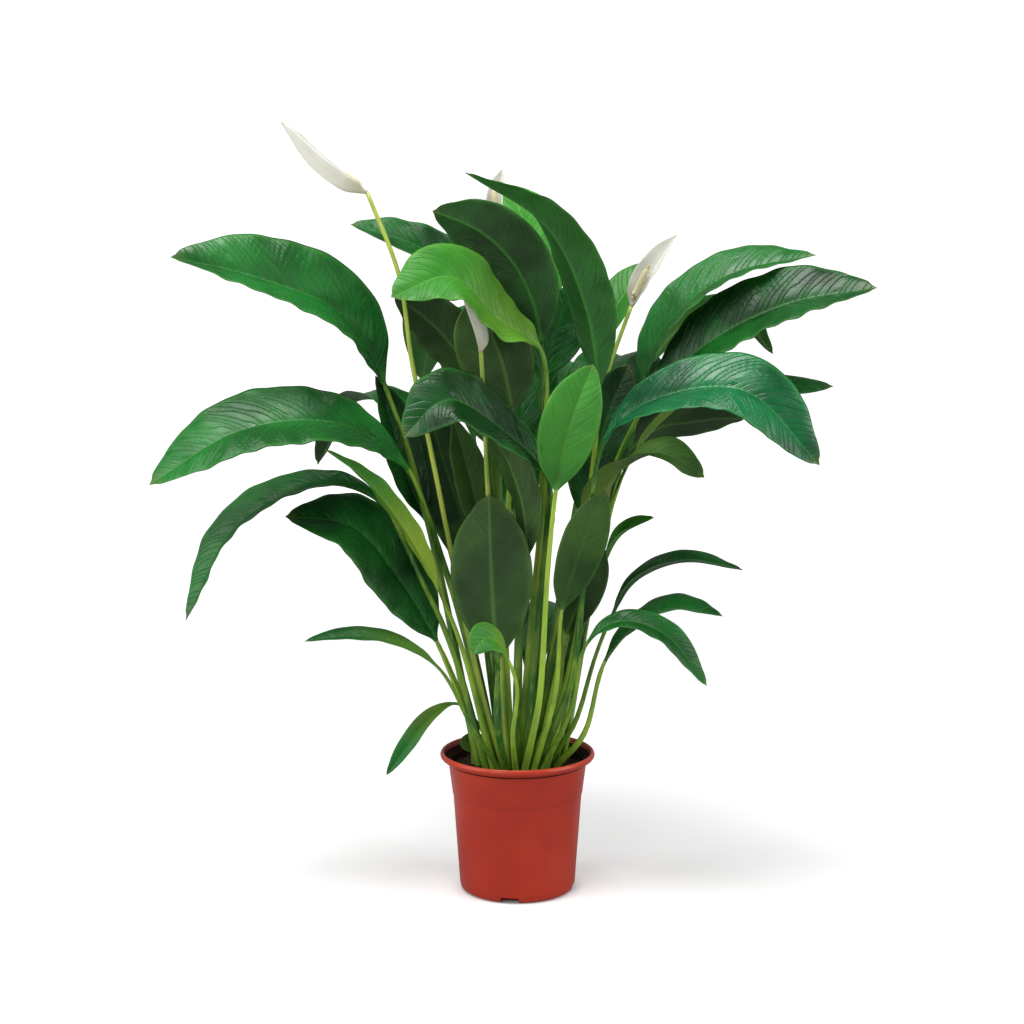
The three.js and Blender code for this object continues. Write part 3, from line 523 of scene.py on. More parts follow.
class Growth:
    """The middle surface of a stalk and blade on a fine grid, with the sizes that its details need."""

    def __init__(self, node, grown_from_soil=True, drawn_out=True):
        rings, tip, _ = rings_of(node, grown_from_soil)
        rings = in_leaf_order(rings)
        width = np.linalg.norm(rings[:, 0] - rings[:, 4], axis=1)
        height = np.linalg.norm(rings[:, 2] - rings[:, 6], axis=1)
        round_rings = np.nonzero(height > 0.8 * width)[0]
        tracks = (rings[:, [0, 1, 2, 3, 4]] + rings[:, [0, 7, 6, 5, 4]]) / 2
        tracks = np.concatenate([tracks, np.repeat(tip[None, None], 5, axis=1)])
        knots = lengths_along(tracks[:, 2])
        self.collar = knots[round_rings[-1]]
        self.length = knots[-1]
        self.blade_length = self.length - self.collar
        stalk = np.arange(0, max(self.collar - 4 * STALK_STEP / 3, 0), STALK_STEP)
        neck = np.linspace(stalk[-1] + 3 * MM if len(stalk) else 0, self.collar, 9, endpoint=False)
        steps = max(24, int(self.blade_length / BLADE_STEP))
        blade = self.collar + self.blade_length * np.linspace(0, 1, steps + 1)[:-1]
        self.at = np.concatenate([stalk, neck, blade, [self.length * 0.9985]])
        self.at = np.unique(self.at.round(7))
        fine = through(knots, tracks, self.at)
        self.radius = np.interp(self.at, knots[:-1], height / 2)
        self.share = np.clip((self.at - self.collar) / self.blade_length, 0, 1)
        self.tip = tip
        v = np.abs(COLUMNS)[None, :, None]
        middle = fine[:, 2][:, None]
        left = (COLUMNS < 0)[None, :, None]
        edge = np.where(left, fine[:, 0][:, None], fine[:, 4][:, None])
        half = np.where(left, fine[:, 1][:, None], fine[:, 3][:, None])
        slope = 4 * half - 3 * middle - edge
        bend = 2 * middle - 4 * half + 2 * edge
        grid = middle + v * slope + v**2 * bend
        if drawn_out:
            grid = middle + (grid - middle) * self.tip_shape()[:, None, None]
        self.grid = grid
        self.half_width = np.linalg.norm(grid[:, 0] - grid[:, -1], axis=1) / 2
        self.widest = self.half_width.max()
        along = np.gradient(grid, axis=0)
        across = np.gradient(grid, axis=1)
        normal = np.cross(along, across)
        normal /= np.linalg.norm(normal, axis=2, keepdims=True) + 1e-12
        upward = through(knots[:-1], rings[:, 2] - rings[:, 6], np.minimum(self.at, knots[-2]))
        if (normal[:, len(COLUMNS) // 2] * upward).sum() < 0:
            normal = -normal
        self.normal = normal

    def tip_shape(self):
        """Widens the last tenth of the blade into a blunt end with a short drawn-out point."""
        left = np.clip((1 - self.share) / TIP_SHARE, 1e-4, 1)
        blunt = left**-0.3 * smoothstep(-0.02, 0.34, left)
        half_width = left * TIP_SHARE * self.blade_length * TIP_SLENDERNESS
        point = np.clip(POINT_HALF_WIDTH / half_width, 0, 1) * smoothstep(0, 0.1, left)
        return np.where(left < 1, np.maximum(blunt, np.minimum(point, 1)), 1)

    def closed_surface(self, rise, top, under, foot_depth=0.0):
        """The points of the closed skin, ring by ring: over the upper face, back under the lower one."""
        middle = self.grid + self.normal * rise[..., None]
        upper = middle + self.normal * top[..., None]
        lower = middle - self.normal * under[..., None]
        skin = np.concatenate([upper, lower[:, -2:0:-1]], axis=1)
        if foot_depth:
            below = skin[:1].copy()
            below[..., 2] -= foot_depth
            skin = np.concatenate([below, skin])
        return skin


def lay_out(values, under=None, foot=False):
    """Spreads a grid of upper-face values over the whole closed skin."""
    under = values if under is None else under
    spread = np.concatenate([values, under[:, -2:0:-1]], axis=1)
    return np.concatenate([spread[:1], spread]) if foot else spread


def skin_object(name, rings, tip, face_kind, attributes, materials):
    """A closed mesh over rings of points, with a fan at each end."""
    count, around = rings.shape[:2]
    points = np.concatenate([rings.reshape(-1, 3), [rings[0].mean(0)], [tip]])
    faces, kinds = [], []
    for i in range(count - 1):
        a = i * around
        for k in range(around):
            n = (k + 1) % around
            faces.append((a + k, a + around + k, a + around + n, a + n))
        kinds.extend(face_kind(i, around))
    foot, end, last = count * around, count * around + 1, (count - 1) * around
    for k in range(around):
        n = (k + 1) % around
        faces.append((foot, k, n))
        faces.append((end, last + n, last + k))
        kinds.extend([face_kind(0, around)[k], face_kind(count - 2, around)[k]])
    mesh = bpy.data.meshes.new(name)
    mesh.from_pydata(points.tolist(), [], faces)
    for material in materials:
        mesh.materials.append(material)
    mesh.polygons.foreach_set("material_index", kinds)
    mesh.polygons.foreach_set("use_smooth", [True] * len(faces))
    for label, values in attributes.items():
        spread = np.broadcast_to(values, (count, around)).reshape(-1)
        data = mesh.attributes.new(label, "FLOAT", "POINT")
        data.data.foreach_set("value", np.concatenate([spread, spread[:1], spread[-1:]]).astype(np.float32))
    mesh.update()
    shaped = bmesh.new()
    shaped.from_mesh(mesh)
    bmesh.ops.recalc_face_normals(shaped, faces=shaped.faces)
    shaped.to_mesh(mesh)
    shaped.free()
    return linked(name, mesh)


def linked(name, mesh):
    piece = bpy.data.objects.new(name, mesh)
    bpy.context.scene.collection.objects.link(piece)
    return piece


def stands_for(piece, node):
    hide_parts(node)
    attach(piece, BODY)
    return piece


# --- Leaves -----------------------------------------------------------------------------------

VEIN_SPACING = 8.5 * MM
VEIN_DEPTH = 1.0 * MM
# How strongly the side veins are pressed in, where a leaf differs from its neighbours.
RELIEF = {
    "leaf_left_high": 1.35, "leaf_right_broad": 1.25, "leaf_gloss_left": 1.2, "leaf_back_gloss": 1.2,
    "leaf_left_low_arch": 1.2, "leaf_right_long": 0.9, "leaf_left_long": 0.7, "leaf_back_top": 0.9,
    "leaf_left_ridge": 1.1, "leaf_crown_left": 0.6, "leaf_centre_dark": 0.7,
}
LEAF_HALF_THICKNESS = 0.32 * MM
RIB_HALF_WIDTH = 1.5 * MM
RIB_HEIGHT = 1.9 * MM
# Where the stalk swells a little, just below the blade.
SWELLING_BELOW_COLLAR = 16 * MM
SWELLING_LENGTH = 11 * MM
# How deep the visible stalks go into the soil.
SOIL_REACH = 7 * MM


def vein_rows(growth, chance):
    """Which side vein each point lies on or between: whole numbers are on a vein."""
    x = np.abs(COLUMNS)[None] * growth.half_width[:, None]
    y = (growth.at - growth.collar)[:, None]
    spacing = VEIN_SPACING * chance.uniform(0.9, 1.15) * min(1, 0.45 + growth.widest / (60 * MM))
    bend = 0.8 * x + 0.5 * x**2 / growth.widest
    rows = (y - bend) / spacing + 0.5 * (COLUMNS < 0)[None]
    for length, size in ((41, 0.28), (23, 0.2), (13, 0.1)):
        rows = rows + size * np.sin(2 * math.pi * (y - 0.7 * bend) / (length * MM) + chance.uniform(0, 6))
    return rows


def margin_waves(growth, chance, size):
    """How far the margins ripple up and down, each side in its own rhythm."""
    y = (growth.at - growth.collar)[:, None]
    v = np.abs(COLUMNS)[None]
    waves = np.zeros((len(growth.at), len(COLUMNS)))
    for side in (COLUMNS < 0, COLUMNS > 0):
        lengths = [chance.uniform(75, 110), chance.uniform(40, 58), chance.uniform(24, 34)]
        swing = sum(
            chance.uniform(0.4, 1) * np.sin(2 * math.pi * y / (length * MM) + chance.uniform(0, 6))
            for length in lengths)
        waves += swing * v**2.4 * side[None]
    full = smoothstep(0, 0.12, growth.share) * smoothstep(1, 0.8, growth.share)
    return waves * size * full[:, None]


def vein_relief(node, growth, rows, chance):
    """How far the flesh between the side veins stands up; nothing at the midrib, margin, foot and tip."""
    v = np.abs(COLUMNS)[None]
    x = v * growth.half_width[:, None]
    share = growth.share[:, None]
    quilt = np.abs(np.sin(math.pi * rows)) ** 0.8
    across = smoothstep(1.5 * MM, 7 * MM, x) * smoothstep(1.02, 0.72, v)
    along = smoothstep(0, 0.1, share) * smoothstep(1, 0.86, share)
    depth = VEIN_DEPTH * RELIEF.get(node, chance.uniform(0.55, 0.9)) * min(1, growth.widest / (30 * MM))
    patchy = 0.75 + 0.25 * np.sin(rows * 2.1 + chance.uniform(0, 6))
    return quilt * across * along * depth * patchy


def leaf_thickness(growth, blade, rib):
    """How far the upper and the under face stand off the middle surface, from round stalk to thin blade."""
    v = COLUMNS[None]
    share = growth.share[:, None]
    from_swelling = growth.at - growth.collar + SWELLING_BELOW_COLLAR
    swell = 1 + 0.16 * np.exp(-((from_swelling / SWELLING_LENGTH) ** 2))[:, None]
    tube = growth.radius[:, None] * swell * np.sqrt(np.clip(1 - v**2, 0, 1))
    channel = 0.22 * growth.radius[:, None] * np.exp(-((v / 0.3) ** 2))
    channel = channel * smoothstep(0, 60 * MM, growth.at)[:, None]
    thin = LEAF_HALF_THICKNESS * np.sqrt(np.clip(1 - np.abs(v) ** 6, 0, 1))
    rib_height = rib * RIB_HEIGHT * (1 - share) ** 0.8 * min(1, growth.widest / (35 * MM))
    top = (1 - blade) * (tube - channel) + blade * (thin - 0.35 * rib_height)
    under = (1 - blade) * tube + blade * (thin + rib_height)
    return top, under


def make_leaf(node, materials, chance):
    growth = Growth(node)
    v = COLUMNS[None]
    share = growth.share[:, None]
    everywhere = np.ones_like(share * v)
    x = np.abs(v) * growth.half_width[:, None]
    blade = smoothstep(0, 0.09, share)
    rows = vein_rows(growth, chance)
    ripple = chance.uniform(0.7, 1.5) * MM * min(1, growth.widest / (40 * MM))
    relief = vein_relief(node, growth, rows, chance)
    rise = blade * (relief + margin_waves(growth, chance, ripple))
    rib = np.exp(-((x / (RIB_HALF_WIDTH * (1.25 - 0.7 * share))) ** 2))
    skin = growth.closed_surface(rise, *leaf_thickness(growth, blade, rib), SOIL_REACH)
    collar_row = int(np.searchsorted(growth.at, growth.collar)) + 1
    upper_columns = len(COLUMNS) - 1

    def face_kind(i, around):
        if i < collar_row:
            return [2] * around
        return [0] * upper_columns + [1] * (around - upper_columns)

    # The tone is partly the leaf's own green and partly painted shade on leaves in the plant's shadow.
    tone = LEAF_TONES_AND_PAINTED_SHADE.get(node, chance.uniform(0.2, 0.6))
    yellow = BRIGHT_STALKS.get(node, chance.uniform(0.0, 0.3))
    rib_near = rib * smoothstep(0.0, 0.02, share) + (1 - smoothstep(0.0, 0.06, share))
    along_stalk = np.clip(growth.at / growth.collar, 0, 1)[:, None] * everywhere
    along = lay_out(np.where(share > 0, share, along_stalk) * everywhere, foot=True)
    along[:collar_row] = lay_out(along_stalk, foot=True)[:collar_row]
    attributes = {
        "vein_row": lay_out(rows, foot=True),
        "rib_near": lay_out(np.clip(rib_near * 0.3, 0, 1), np.clip(rib_near * 0.6, 0, 1), foot=True),
        "edge_near": lay_out(np.abs(v) * everywhere, foot=True),
        "along": along,
        "tone": tone,
        "stalk_tone": yellow,
        "pale_foot": PALE_FEET.get(node, 0.0),
    }
    piece = skin_object(f"{node}_grown", skin, growth.tip, face_kind, attributes, materials)
    return stands_for(piece, node)


LEAF_LOOKS = {
    "leaf_deep": dict(
        dark=(0.002, 0.034, 0.004), light=(0.018, 0.215, 0.030), vein=(0.002, 0.04, 0.006),
        rib=(0.06, 0.29, 0.035), through=(0.15, 0.6, 0.03), roughness=0.27, gloss=0.4, glow=0.1),
    "leaf_fresh": dict(
        dark=(0.010, 0.13, 0.010), light=(0.075, 0.38, 0.035), vein=(0.015, 0.15, 0.012),
        rib=(0.18, 0.46, 0.06), through=(0.35, 0.75, 0.05), roughness=0.36, gloss=0.35, glow=0.17),
    "leaf_olive": dict(
        dark=(0.004, 0.032, 0.004), light=(0.055, 0.15, 0.020), vein=(0.008, 0.05, 0.006),
        rib=(0.1, 0.24, 0.035), through=(0.22, 0.45, 0.04), roughness=0.47, gloss=0.28, glow=0.1),
    "leaf_teal": dict(
        dark=(0.001, 0.05, 0.014), light=(0.008, 0.24, 0.065), vein=(0.002, 0.05, 0.016),
        rib=(0.05, 0.34, 0.07), through=(0.15, 0.6, 0.07), roughness=0.24, gloss=0.5, glow=0.09),
}


def paler(colour, share=0.35):
    """A leaf's green as it is on its duller underside."""
    grey = (0.07, 0.14, 0.035)
    return tuple(c * (1 - share) + g * share for c, g in zip(colour, grey))


def make_leaves():
    stalk = stalk_material("leaf_stalk", (0.022, 0.13, 0.010), (0.36, 0.56, 0.05), 0.3)
    faces = {}
    for slot, look in LEAF_LOOKS.items():
        back = dict(look, dark=paler(look["dark"], 0.22), light=paler(look["light"]), vein=look["dark"],
                    roughness=look["roughness"] + 0.14, gloss=0.35)
        faces[slot] = [leaf_material(f"{slot}_upper", **look), leaf_material(f"{slot}_under", **back), stalk]
    for number, node in enumerate(sorted(n for n in nodes if n.startswith("leaf_"))):
        make_leaf(node, faces[slot_of[node]], random.Random(1000 + number))


# --- Flowers ----------------------------------------------------------------------------------

# Long veins on each half of a hood, and the sizes of its skin, back rib and wavy margin.
SPATHE_VEINS = 7
SPATHE_VEIN_DEPTH = 0.12 * MM
SPATHE_HALF_THICKNESS = 0.45 * MM
SPATHE_BACKING = 0.3 * MM
SPATHE_RIB_HALF_WIDTH = 1.3 * MM
SPATHE_RIB_HEIGHT = 0.8 * MM
SPATHE_CURL = 0.7 * MM

STALK_SIDES = 20
STALK_FLUTES = 7

# Tiny flowers in a turn of the spadix, the height between their rows, and how far each stands out.
SPADIX_SIDES = 72
FLORETS = 9
FLORET_PITCH = 4.4 * MM
FLORET_HEIGHT = 0.5 * MM


def one_kind(_, around):
    """Every face in a row takes the piece's only material."""
    return [0] * around


def make_spathe(node, material, chance):
    growth = Growth(node, grown_from_soil=False, drawn_out=False)
    v = COLUMNS[None]
    share = growth.share[:, None]
    x = np.abs(v) * growth.half_width[:, None]
    rows = v * SPATHE_VEINS * np.ones_like(share)
    ribs = np.abs(np.sin(math.pi * rows)) * SPATHE_VEIN_DEPTH
    curl = margin_waves(growth, chance, SPATHE_CURL)
    rib = np.exp(-((x / SPATHE_RIB_HALF_WIDTH) ** 2)) * (1 - share)
    blade = smoothstep(0, 0.08, share)
    tube = growth.radius[:, None] * np.sqrt(np.clip(1 - v**2, 0, 1))
    thin = SPATHE_HALF_THICKNESS * np.sqrt(np.clip(1 - np.abs(v) ** 6, 0, 1))
    top = (1 - blade) * tube + blade * thin
    under = (1 - blade) * tube + blade * (thin + rib * SPATHE_RIB_HEIGHT + SPATHE_BACKING)
    skin = growth.closed_surface(blade * (ribs * smoothstep(1, 0.8, share) + curl), top, under)
    attributes = {
        "vein_row": lay_out(rows),
        "rib_near": lay_out(rib * 0.3, rib),
        "along": lay_out(share + 0 * x),
        "tone": 0.6,
    }
    piece = skin_object(f"{node}_grown", skin, growth.tip, one_kind, attributes, [material])
    return stands_for(piece, node)


def ring_frames(node, steps):
    """Centres, radii and two side directions at even steps along a round node."""
    rings, tip, foot = rings_of(node, node.endswith("_stalk"))
    centres = rings.mean(1)
    radii = np.linalg.norm(rings - centres[:, None], axis=2).mean(1)
    if node.endswith("_spadix"):
        centres = np.concatenate([[foot], centres, [tip]])
        radii = np.concatenate([[radii[0] * 0.8], radii, [radii[-1] * 0.1]])
        keep = np.concatenate([[True], np.linalg.norm(np.diff(centres, axis=0), axis=1) > 1e-6])
        centres, radii = centres[keep], radii[keep]
    knots = lengths_along(centres)
    at = np.linspace(0, knots[-1], steps)
    path = through(knots, centres, at)
    size = np.interp(at, knots, radii)
    along = np.gradient(path, axis=0)
    along /= np.linalg.norm(along, axis=1, keepdims=True)
    side = np.cross(along, [0.3, 1, 0.1])
    side /= np.linalg.norm(side, axis=1, keepdims=True)
    return path, size, side, np.cross(along, side), at


def full_turn(around):
    return np.linspace(0, 2 * math.pi, around, endpoint=False)[None]


def tube_rings(path, size, side, face, around):
    angle = full_turn(around)[..., None]
    out = np.cos(angle) * side[:, None] + np.sin(angle) * face[:, None]
    return path[:, None] + out * size[..., None]


def make_flower_stalk(node, material):
    path, size, side, face, at = ring_frames(node, 70)
    path = np.concatenate([path[:1] - [[0, 0, SOIL_REACH]], path])
    size, at = np.concatenate([size[:1], size]), np.concatenate([at[:1], at])
    side, face = np.concatenate([side[:1], side]), np.concatenate([face[:1], face])
    fluted = size[:, None] * (1 + 0.035 * np.cos(STALK_FLUTES * full_turn(STALK_SIDES)))
    rings = tube_rings(path, fluted, side, face, STALK_SIDES)
    attributes = {
        "along": (at / at[-1])[:, None],
        "stalk_tone": 0.8 if "left" in node else 0.6,
    }
    piece = skin_object(f"{node}_grown", rings, rings[-1].mean(0), one_kind, attributes, [material])
    return stands_for(piece, node)


def make_spadix(node, material):
    """Rows of tiny round flowers that wind round the column both ways."""
    path, size, side, face, at = ring_frames(node, 96)
    turn = FLORETS * full_turn(SPADIX_SIDES)
    climb = (2 * math.pi * at / FLORET_PITCH)[:, None]
    weave = np.cos(turn + climb) * np.cos(turn - climb)
    knob = np.abs(weave) ** 0.6 * smoothstep(0.1, 0.16, at / at[-1])[:, None]
    rings = tube_rings(path, size[:, None] * 0.9 + knob * FLORET_HEIGHT, side, face, SPADIX_SIDES)
    attributes = {"knob": knob[:-1]}
    piece = skin_object(f"{node}_grown", rings[:-1], path[-1], one_kind, attributes, [material])
    return stands_for(piece, node)


def make_flowers():
    white, cream = spathe_material(), spadix_material()
    stalk = stalk_material("flower_stalk", (0.06, 0.2, 0.02), (0.46, 0.56, 0.08), 0.36)
    for number, node in enumerate(sorted(n for n in nodes if n.startswith("flower_"))):
        if node.endswith("_spathe"):
            make_spathe(node, white, random.Random(2000 + number))
        elif node.endswith("_spadix"):
            make_spadix(node, cream)
        else:
            make_flower_stalk(node, stalk)


# --- Pot --------------------------------------------------------------------------------------

POT_SIDES = 160
WALL = 2 * MM
FLOOR = 4 * MM
LIP_DEPTH = 10 * MM
LEDGE = 0.7 * MM
# Radii of the wall as shares of the lip's radius, and the height of the step as a share of the pot's.
FOOT_SHARE = 0.682
CORNER_SHARE = 0.7485
STEP_SHARE = 0.8318
SHOULDER_SHARE = 0.894
STEP_HEIGHT_SHARE = 0.6968
# Just outside the inner wall: shares of the height, and of the lip's radius there.
INNER_HEIGHTS = [0, 0.05, STEP_HEIGHT_SHARE, 0.916, 0.935, 0.955, 1]
INNER_RADII = [0.68, CORNER_SHARE, STEP_SHARE, 0.898, 0.921, 0.966, 0.978]

SLOTS = 4
SLOT_SIZE = (24 * MM, 20 * MM, 13.6 * MM)
SLOT_RADIUS = 61 * MM
FIRST_SLOT = math.radians(-98)


def rounded(points, radius, steps=4):
    """An outline with each of its corners turned into a short curve."""
    soft = []
    count = len(points)
    for i, corner in enumerate(points):
        here = Vector(corner)
        if i in (0, count - 1):
            soft.append(tuple(here))
            continue
        before, after = Vector(points[i - 1]) - here, Vector(points[i + 1]) - here
        cut = min(radius, before.length * 0.45, after.length * 0.45)
        a, b = here + before.normalized() * cut, here + after.normalized() * cut
        for s in range(steps + 1):
            t = s / steps
            soft.append(tuple(a * (1 - t) ** 2 + here * 2 * t * (1 - t) + b * t**2))
    return soft


def pot_outline(height, rim):
    """The pot's section: from the middle of its underside, up the outside, over the lip, down inside."""
    foot = rim * FOOT_SHARE
    corner = rim * CORNER_SHARE
    step = rim * STEP_SHARE
    step_height = height * STEP_HEIGHT_SHARE
    shoulder = rim * SHOULDER_SHARE
    lip = height - LIP_DEPTH
    underside = [
        (0, 0), (20 * MM, 0), (21 * MM, 2 * MM), (foot - 10 * MM, 2 * MM), (foot - 9 * MM, 0), (foot, 0),
    ]
    outside = [
        (corner - 1.5 * MM, 2.2 * MM),
        (corner, 8 * MM),
        (step, step_height),
        (step + LEDGE, step_height + 0.8 * MM),
        (shoulder, lip - 1 * MM),
    ]
    rolled_lip = [
        (shoulder + 1.6 * MM, lip),
        (rim - 2.4 * MM, lip + 2.4 * MM),
        (rim - 0.3 * MM, lip + 4.6 * MM),
        (rim, height - 2.8 * MM),
        (rim - 1.6 * MM, height),
        (rim - 4 * MM, height - 0.4 * MM),
        (rim - 5.6 * MM, lip + 3 * MM),
    ]
    inside = [
        (shoulder - WALL, lip - 3 * MM),
        (step + LEDGE - WALL, step_height),
        (corner - WALL, 7 * MM),
        (corner - WALL - 3 * MM, FLOOR),
        (0, FLOOR),
    ]
    return rounded(underside + outside + rolled_lip + inside, 1.4 * MM)


def ring_of_points(radius, height, sides, shift=0.0):
    turns = [2 * math.pi * (k + shift) / sides for k in range(sides)]
    return [(radius * math.cos(turn), radius * math.sin(turn), height) for turn in turns]


def turned(name, outline, sides):
    """A closed solid turned round the Z axis; its first and last points lie on the axis."""
    built = bmesh.new()
    foot = built.verts.new((0, 0, outline[0][1]))
    head = built.verts.new((0, 0, outline[-1][1]))
    rings = []
    for radius, height in outline[1:-1]:
        rings.append([built.verts.new(point) for point in ring_of_points(radius, height, sides)])
    for k in range(sides):
        n = (k + 1) % sides
        built.faces.new((foot, rings[0][n], rings[0][k]))
        built.faces.new((head, rings[-1][k], rings[-1][n]))
        for low, high in zip(rings, rings[1:]):
            built.faces.new((low[k], low[n], high[n], high[k]))
    bmesh.ops.recalc_face_normals(built, faces=built.faces)
    mesh = bpy.data.meshes.new(name)
    built.to_mesh(mesh)
    built.free()
    return mesh


def cut_away(piece, cutters):
    """Takes the cutters' space out of a piece and keeps the result as its mesh."""
    for cutter in cutters:
        cut = piece.modifiers.new(cutter.name, "BOOLEAN")
        cut.object = cutter
        cut.operation = "DIFFERENCE"
        cut.solver = "EXACT"
    depsgraph = bpy.context.evaluated_depsgraph_get()
    result = bpy.data.meshes.new_from_object(piece.evaluated_get(depsgraph))
    piece.modifiers.clear()
    piece.data = result
    for cutter in cutters:
        bpy.data.objects.remove(cutter)


def lies_along_x(edge):
    here, there = edge.verts
    return abs(here.co.y - there.co.y) < 1e-6 and abs(here.co.z - there.co.z) < 1e-6


def slot_cutter(number):
    """A rounded block that cuts one drain slot through the pot's bottom corner."""
    built = bmesh.new()
    bmesh.ops.create_cube(built, size=1)
    bmesh.ops.scale(built, verts=built.verts, vec=SLOT_SIZE)
    long_edges = [edge for edge in built.edges if lies_along_x(edge)]
    bmesh.ops.bevel(built, geom=long_edges, offset=1.6 * MM, segments=4, affect="EDGES", profile=0.5)
    mesh = bpy.data.meshes.new(f"slot_{number}")
    built.to_mesh(mesh)
    built.free()
    cutter = linked(f"slot_{number}", mesh)
    turn = Matrix.Rotation(FIRST_SLOT + number * 2 * math.pi / SLOTS, 4, "Z")
    cutter.matrix_world = turn @ Matrix.Translation((SLOT_RADIUS, 0, 0))
    return cutter


def pot_marks(mesh, height, rim):
    """How much each point of the pot is lightened, as a painted highlight on the rim's top and a lighter
    foot edge, and which faces belong to its inner wall, which is painted in shade.
    """
    rim_highlight_and_foot_edge, inside = [], []
    for vertex in mesh.vertices:
        radius, z = math.hypot(vertex.co.x, vertex.co.y), vertex.co.z
        # A painted highlight along the rim's top, and a lighter edge at the foot.
        on_rim = math.exp(-(((height - z) / (3 * MM)) ** 2)) * (radius > rim - 6 * MM)
        on_foot = math.exp(-((z / (3 * MM)) ** 2)) * (radius > rim * 0.6)
        rim_highlight_and_foot_edge.append(min(1, on_rim + on_foot * 0.8))
        wall = rim * np.interp(z / height, INNER_HEIGHTS, INNER_RADII) - 1.1 * MM
        inside.append(radius < wall and 3 * MM < z < height - 1.5 * MM)
    mesh.attributes.new("rim_highlight_and_foot_edge", "FLOAT", "POINT").data.foreach_set("value", rim_highlight_and_foot_edge)
    for face in mesh.polygons:
        # Faces wholly on the inner wall take the second material, its painted shade.
        face.material_index = int(all(inside[corner] for corner in face.vertices))


def make_pot():
    far_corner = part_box("pot")[1]
    height = far_corner.z
    rim = far_corner.x
    pot = linked("pot_moulded", turned("pot_moulded", pot_outline(height, rim), POT_SIDES))
    cut_away(pot, [slot_cutter(number) for number in range(SLOTS)])
    pot_marks(pot.data, height, rim)
    pot.data.polygons.foreach_set("use_smooth", [True] * len(pot.data.polygons))
    pot.data.set_sharp_from_angle(angle=math.radians(38))
    pot.data.materials.append(pot_material())
    pot.data.materials.append(pot_inner_shade_material())
    stands_for(pot, "pot")


# --- Soil -------------------------------------------------------------------------------------

# A twelve-cornered ball, as corners and three-sided faces.
GOLDEN = (1 + 5**0.5) / 2
BALL_CORNERS = [
    (-1, GOLDEN, 0), (1, GOLDEN, 0), (-1, -GOLDEN, 0), (1, -GOLDEN, 0),
    (0, -1, GOLDEN), (0, 1, GOLDEN), (0, -1, -GOLDEN), (0, 1, -GOLDEN),
    (GOLDEN, 0, -1), (GOLDEN, 0, 1), (-GOLDEN, 0, -1), (-GOLDEN, 0, 1),
]
BALL_SIDES = [
    (0, 11, 5), (0, 5, 1), (0, 1, 7), (0, 7, 10), (0, 10, 11), (1, 5, 9), (5, 11, 4),
    (11, 10, 2), (10, 7, 6), (7, 1, 8), (3, 9, 4), (3, 4, 2), (3, 2, 6), (3, 6, 8),
    (3, 8, 9), (4, 9, 5), (2, 4, 11), (6, 2, 10), (8, 6, 7), (9, 8, 1),
]
BALL_REACH = 1.9


def crumb(chance, centre, size):
    """The corners of one rough lump of peat: a small ball pushed out of shape."""
    stretch = [chance.uniform(0.6, 1.3) for _ in range(3)]
    points = []
    for corner in BALL_CORNERS:
        push = size * chance.uniform(0.75, 1.2) / BALL_REACH
        points.append([c + s * p * push for c, s, p in zip(centre, stretch, corner)])
    return points


SOIL_RADIUS = 74.2 * MM
SOIL_RINGS = 34
SOIL_SIDES = 96
# Radius and height of the packed soil under its surface, down to the pot's floor.
SOIL_BODY = [(0.0722, 0.126), (0.0668, 0.096), (0.0606, 0.010), (0.0565, 0.0045)]
CRUMBS = 1500
CRUMB_SPREAD = 72 * MM


def soil_level(radius):
    """The soil's height: level in the middle, falling a little towards the wall."""
    return SOIL_HEIGHT - 3.4 * MM * max(0, (radius - 60 * MM) / (14 * MM)) ** 2


def joined(lower, upper, sides):
    """The faces between two rings of points, given as the numbers of their first points."""
    turned_on = [(k + 1) % sides for k in range(sides)]
    return [(lower + k, lower + n, upper + n, upper + k) for k, n in enumerate(turned_on)]


def soil_ground(chance):
    """The soil's uneven surface and its body down to the pot's floor, as one closed shape."""
    points, faces, tones = [], [], []
    for i in range(SOIL_RINGS + 1):
        radius = SOIL_RADIUS * i / SOIL_RINGS
        for x, y, level in ring_of_points(radius, soil_level(radius), SOIL_SIDES, 0.5 * (i % 2)):
            lift = 0.0 if i == SOIL_RINGS else chance.uniform(-0.9, 0.9) * MM
            points.append((x, y, level + lift - 0.6 * MM))
            tones.append(chance.uniform(0, 0.25))
    for radius, height in SOIL_BODY:
        points.extend(ring_of_points(radius, height, SOIL_SIDES, 0.5 * (SOIL_RINGS % 2)))
        tones.extend([0] * SOIL_SIDES)
    last = SOIL_RINGS + len(SOIL_BODY)
    for i in range(last):
        faces.extend(joined(i * SOIL_SIDES, (i + 1) * SOIL_SIDES, SOIL_SIDES))
    faces.append(tuple(last * SOIL_SIDES + k for k in reversed(range(SOIL_SIDES))))
    return points, faces, tones


def make_soil():
    chance = random.Random(7)
    points, faces, tones = soil_ground(chance)
    for number in range(CRUMBS):
        radius = CRUMB_SPREAD * math.sqrt(chance.random())
        turn = chance.uniform(0, 2 * math.pi)
        size = chance.uniform(0.7, 2.4) * MM * (1.5 if number % 17 == 0 else 1)
        level = soil_level(radius) + size * 0.1 - 0.4 * MM
        lump = crumb(chance, (radius * math.cos(turn), radius * math.sin(turn), level), size)
        start = len(points)
        points.extend(lump)
        faces.extend(tuple(start + c for c in side) for side in BALL_SIDES)
        tone = 0.9 if number % 23 == 0 else chance.uniform(0, 0.4)
        tones.extend([tone] * len(lump))
    mesh = bpy.data.meshes.new("soil_crumbs")
    mesh.from_pydata(points, [], faces)
    mesh.attributes.new("tone", "FLOAT", "POINT").data.foreach_set("value", tones)
    mesh.materials.append(soil_material())
    mesh.update()
    stands_for(linked("soil_crumbs", mesh), "soil")


# --- Camera, floor and light ------------------------------------------------------------------

# How brightly the far floor lights the plant.
FILL_LIGHT = 0.2

FLOOR_SIDES = 64
FLOOR_RADII = (0.045, 0.058, 0.075, 0.2, 1.0, 2.0, 3.0, 4.0, 5.0, 6.0)
WALL_CURVE = 3.0
WALL_TOP = 9.0


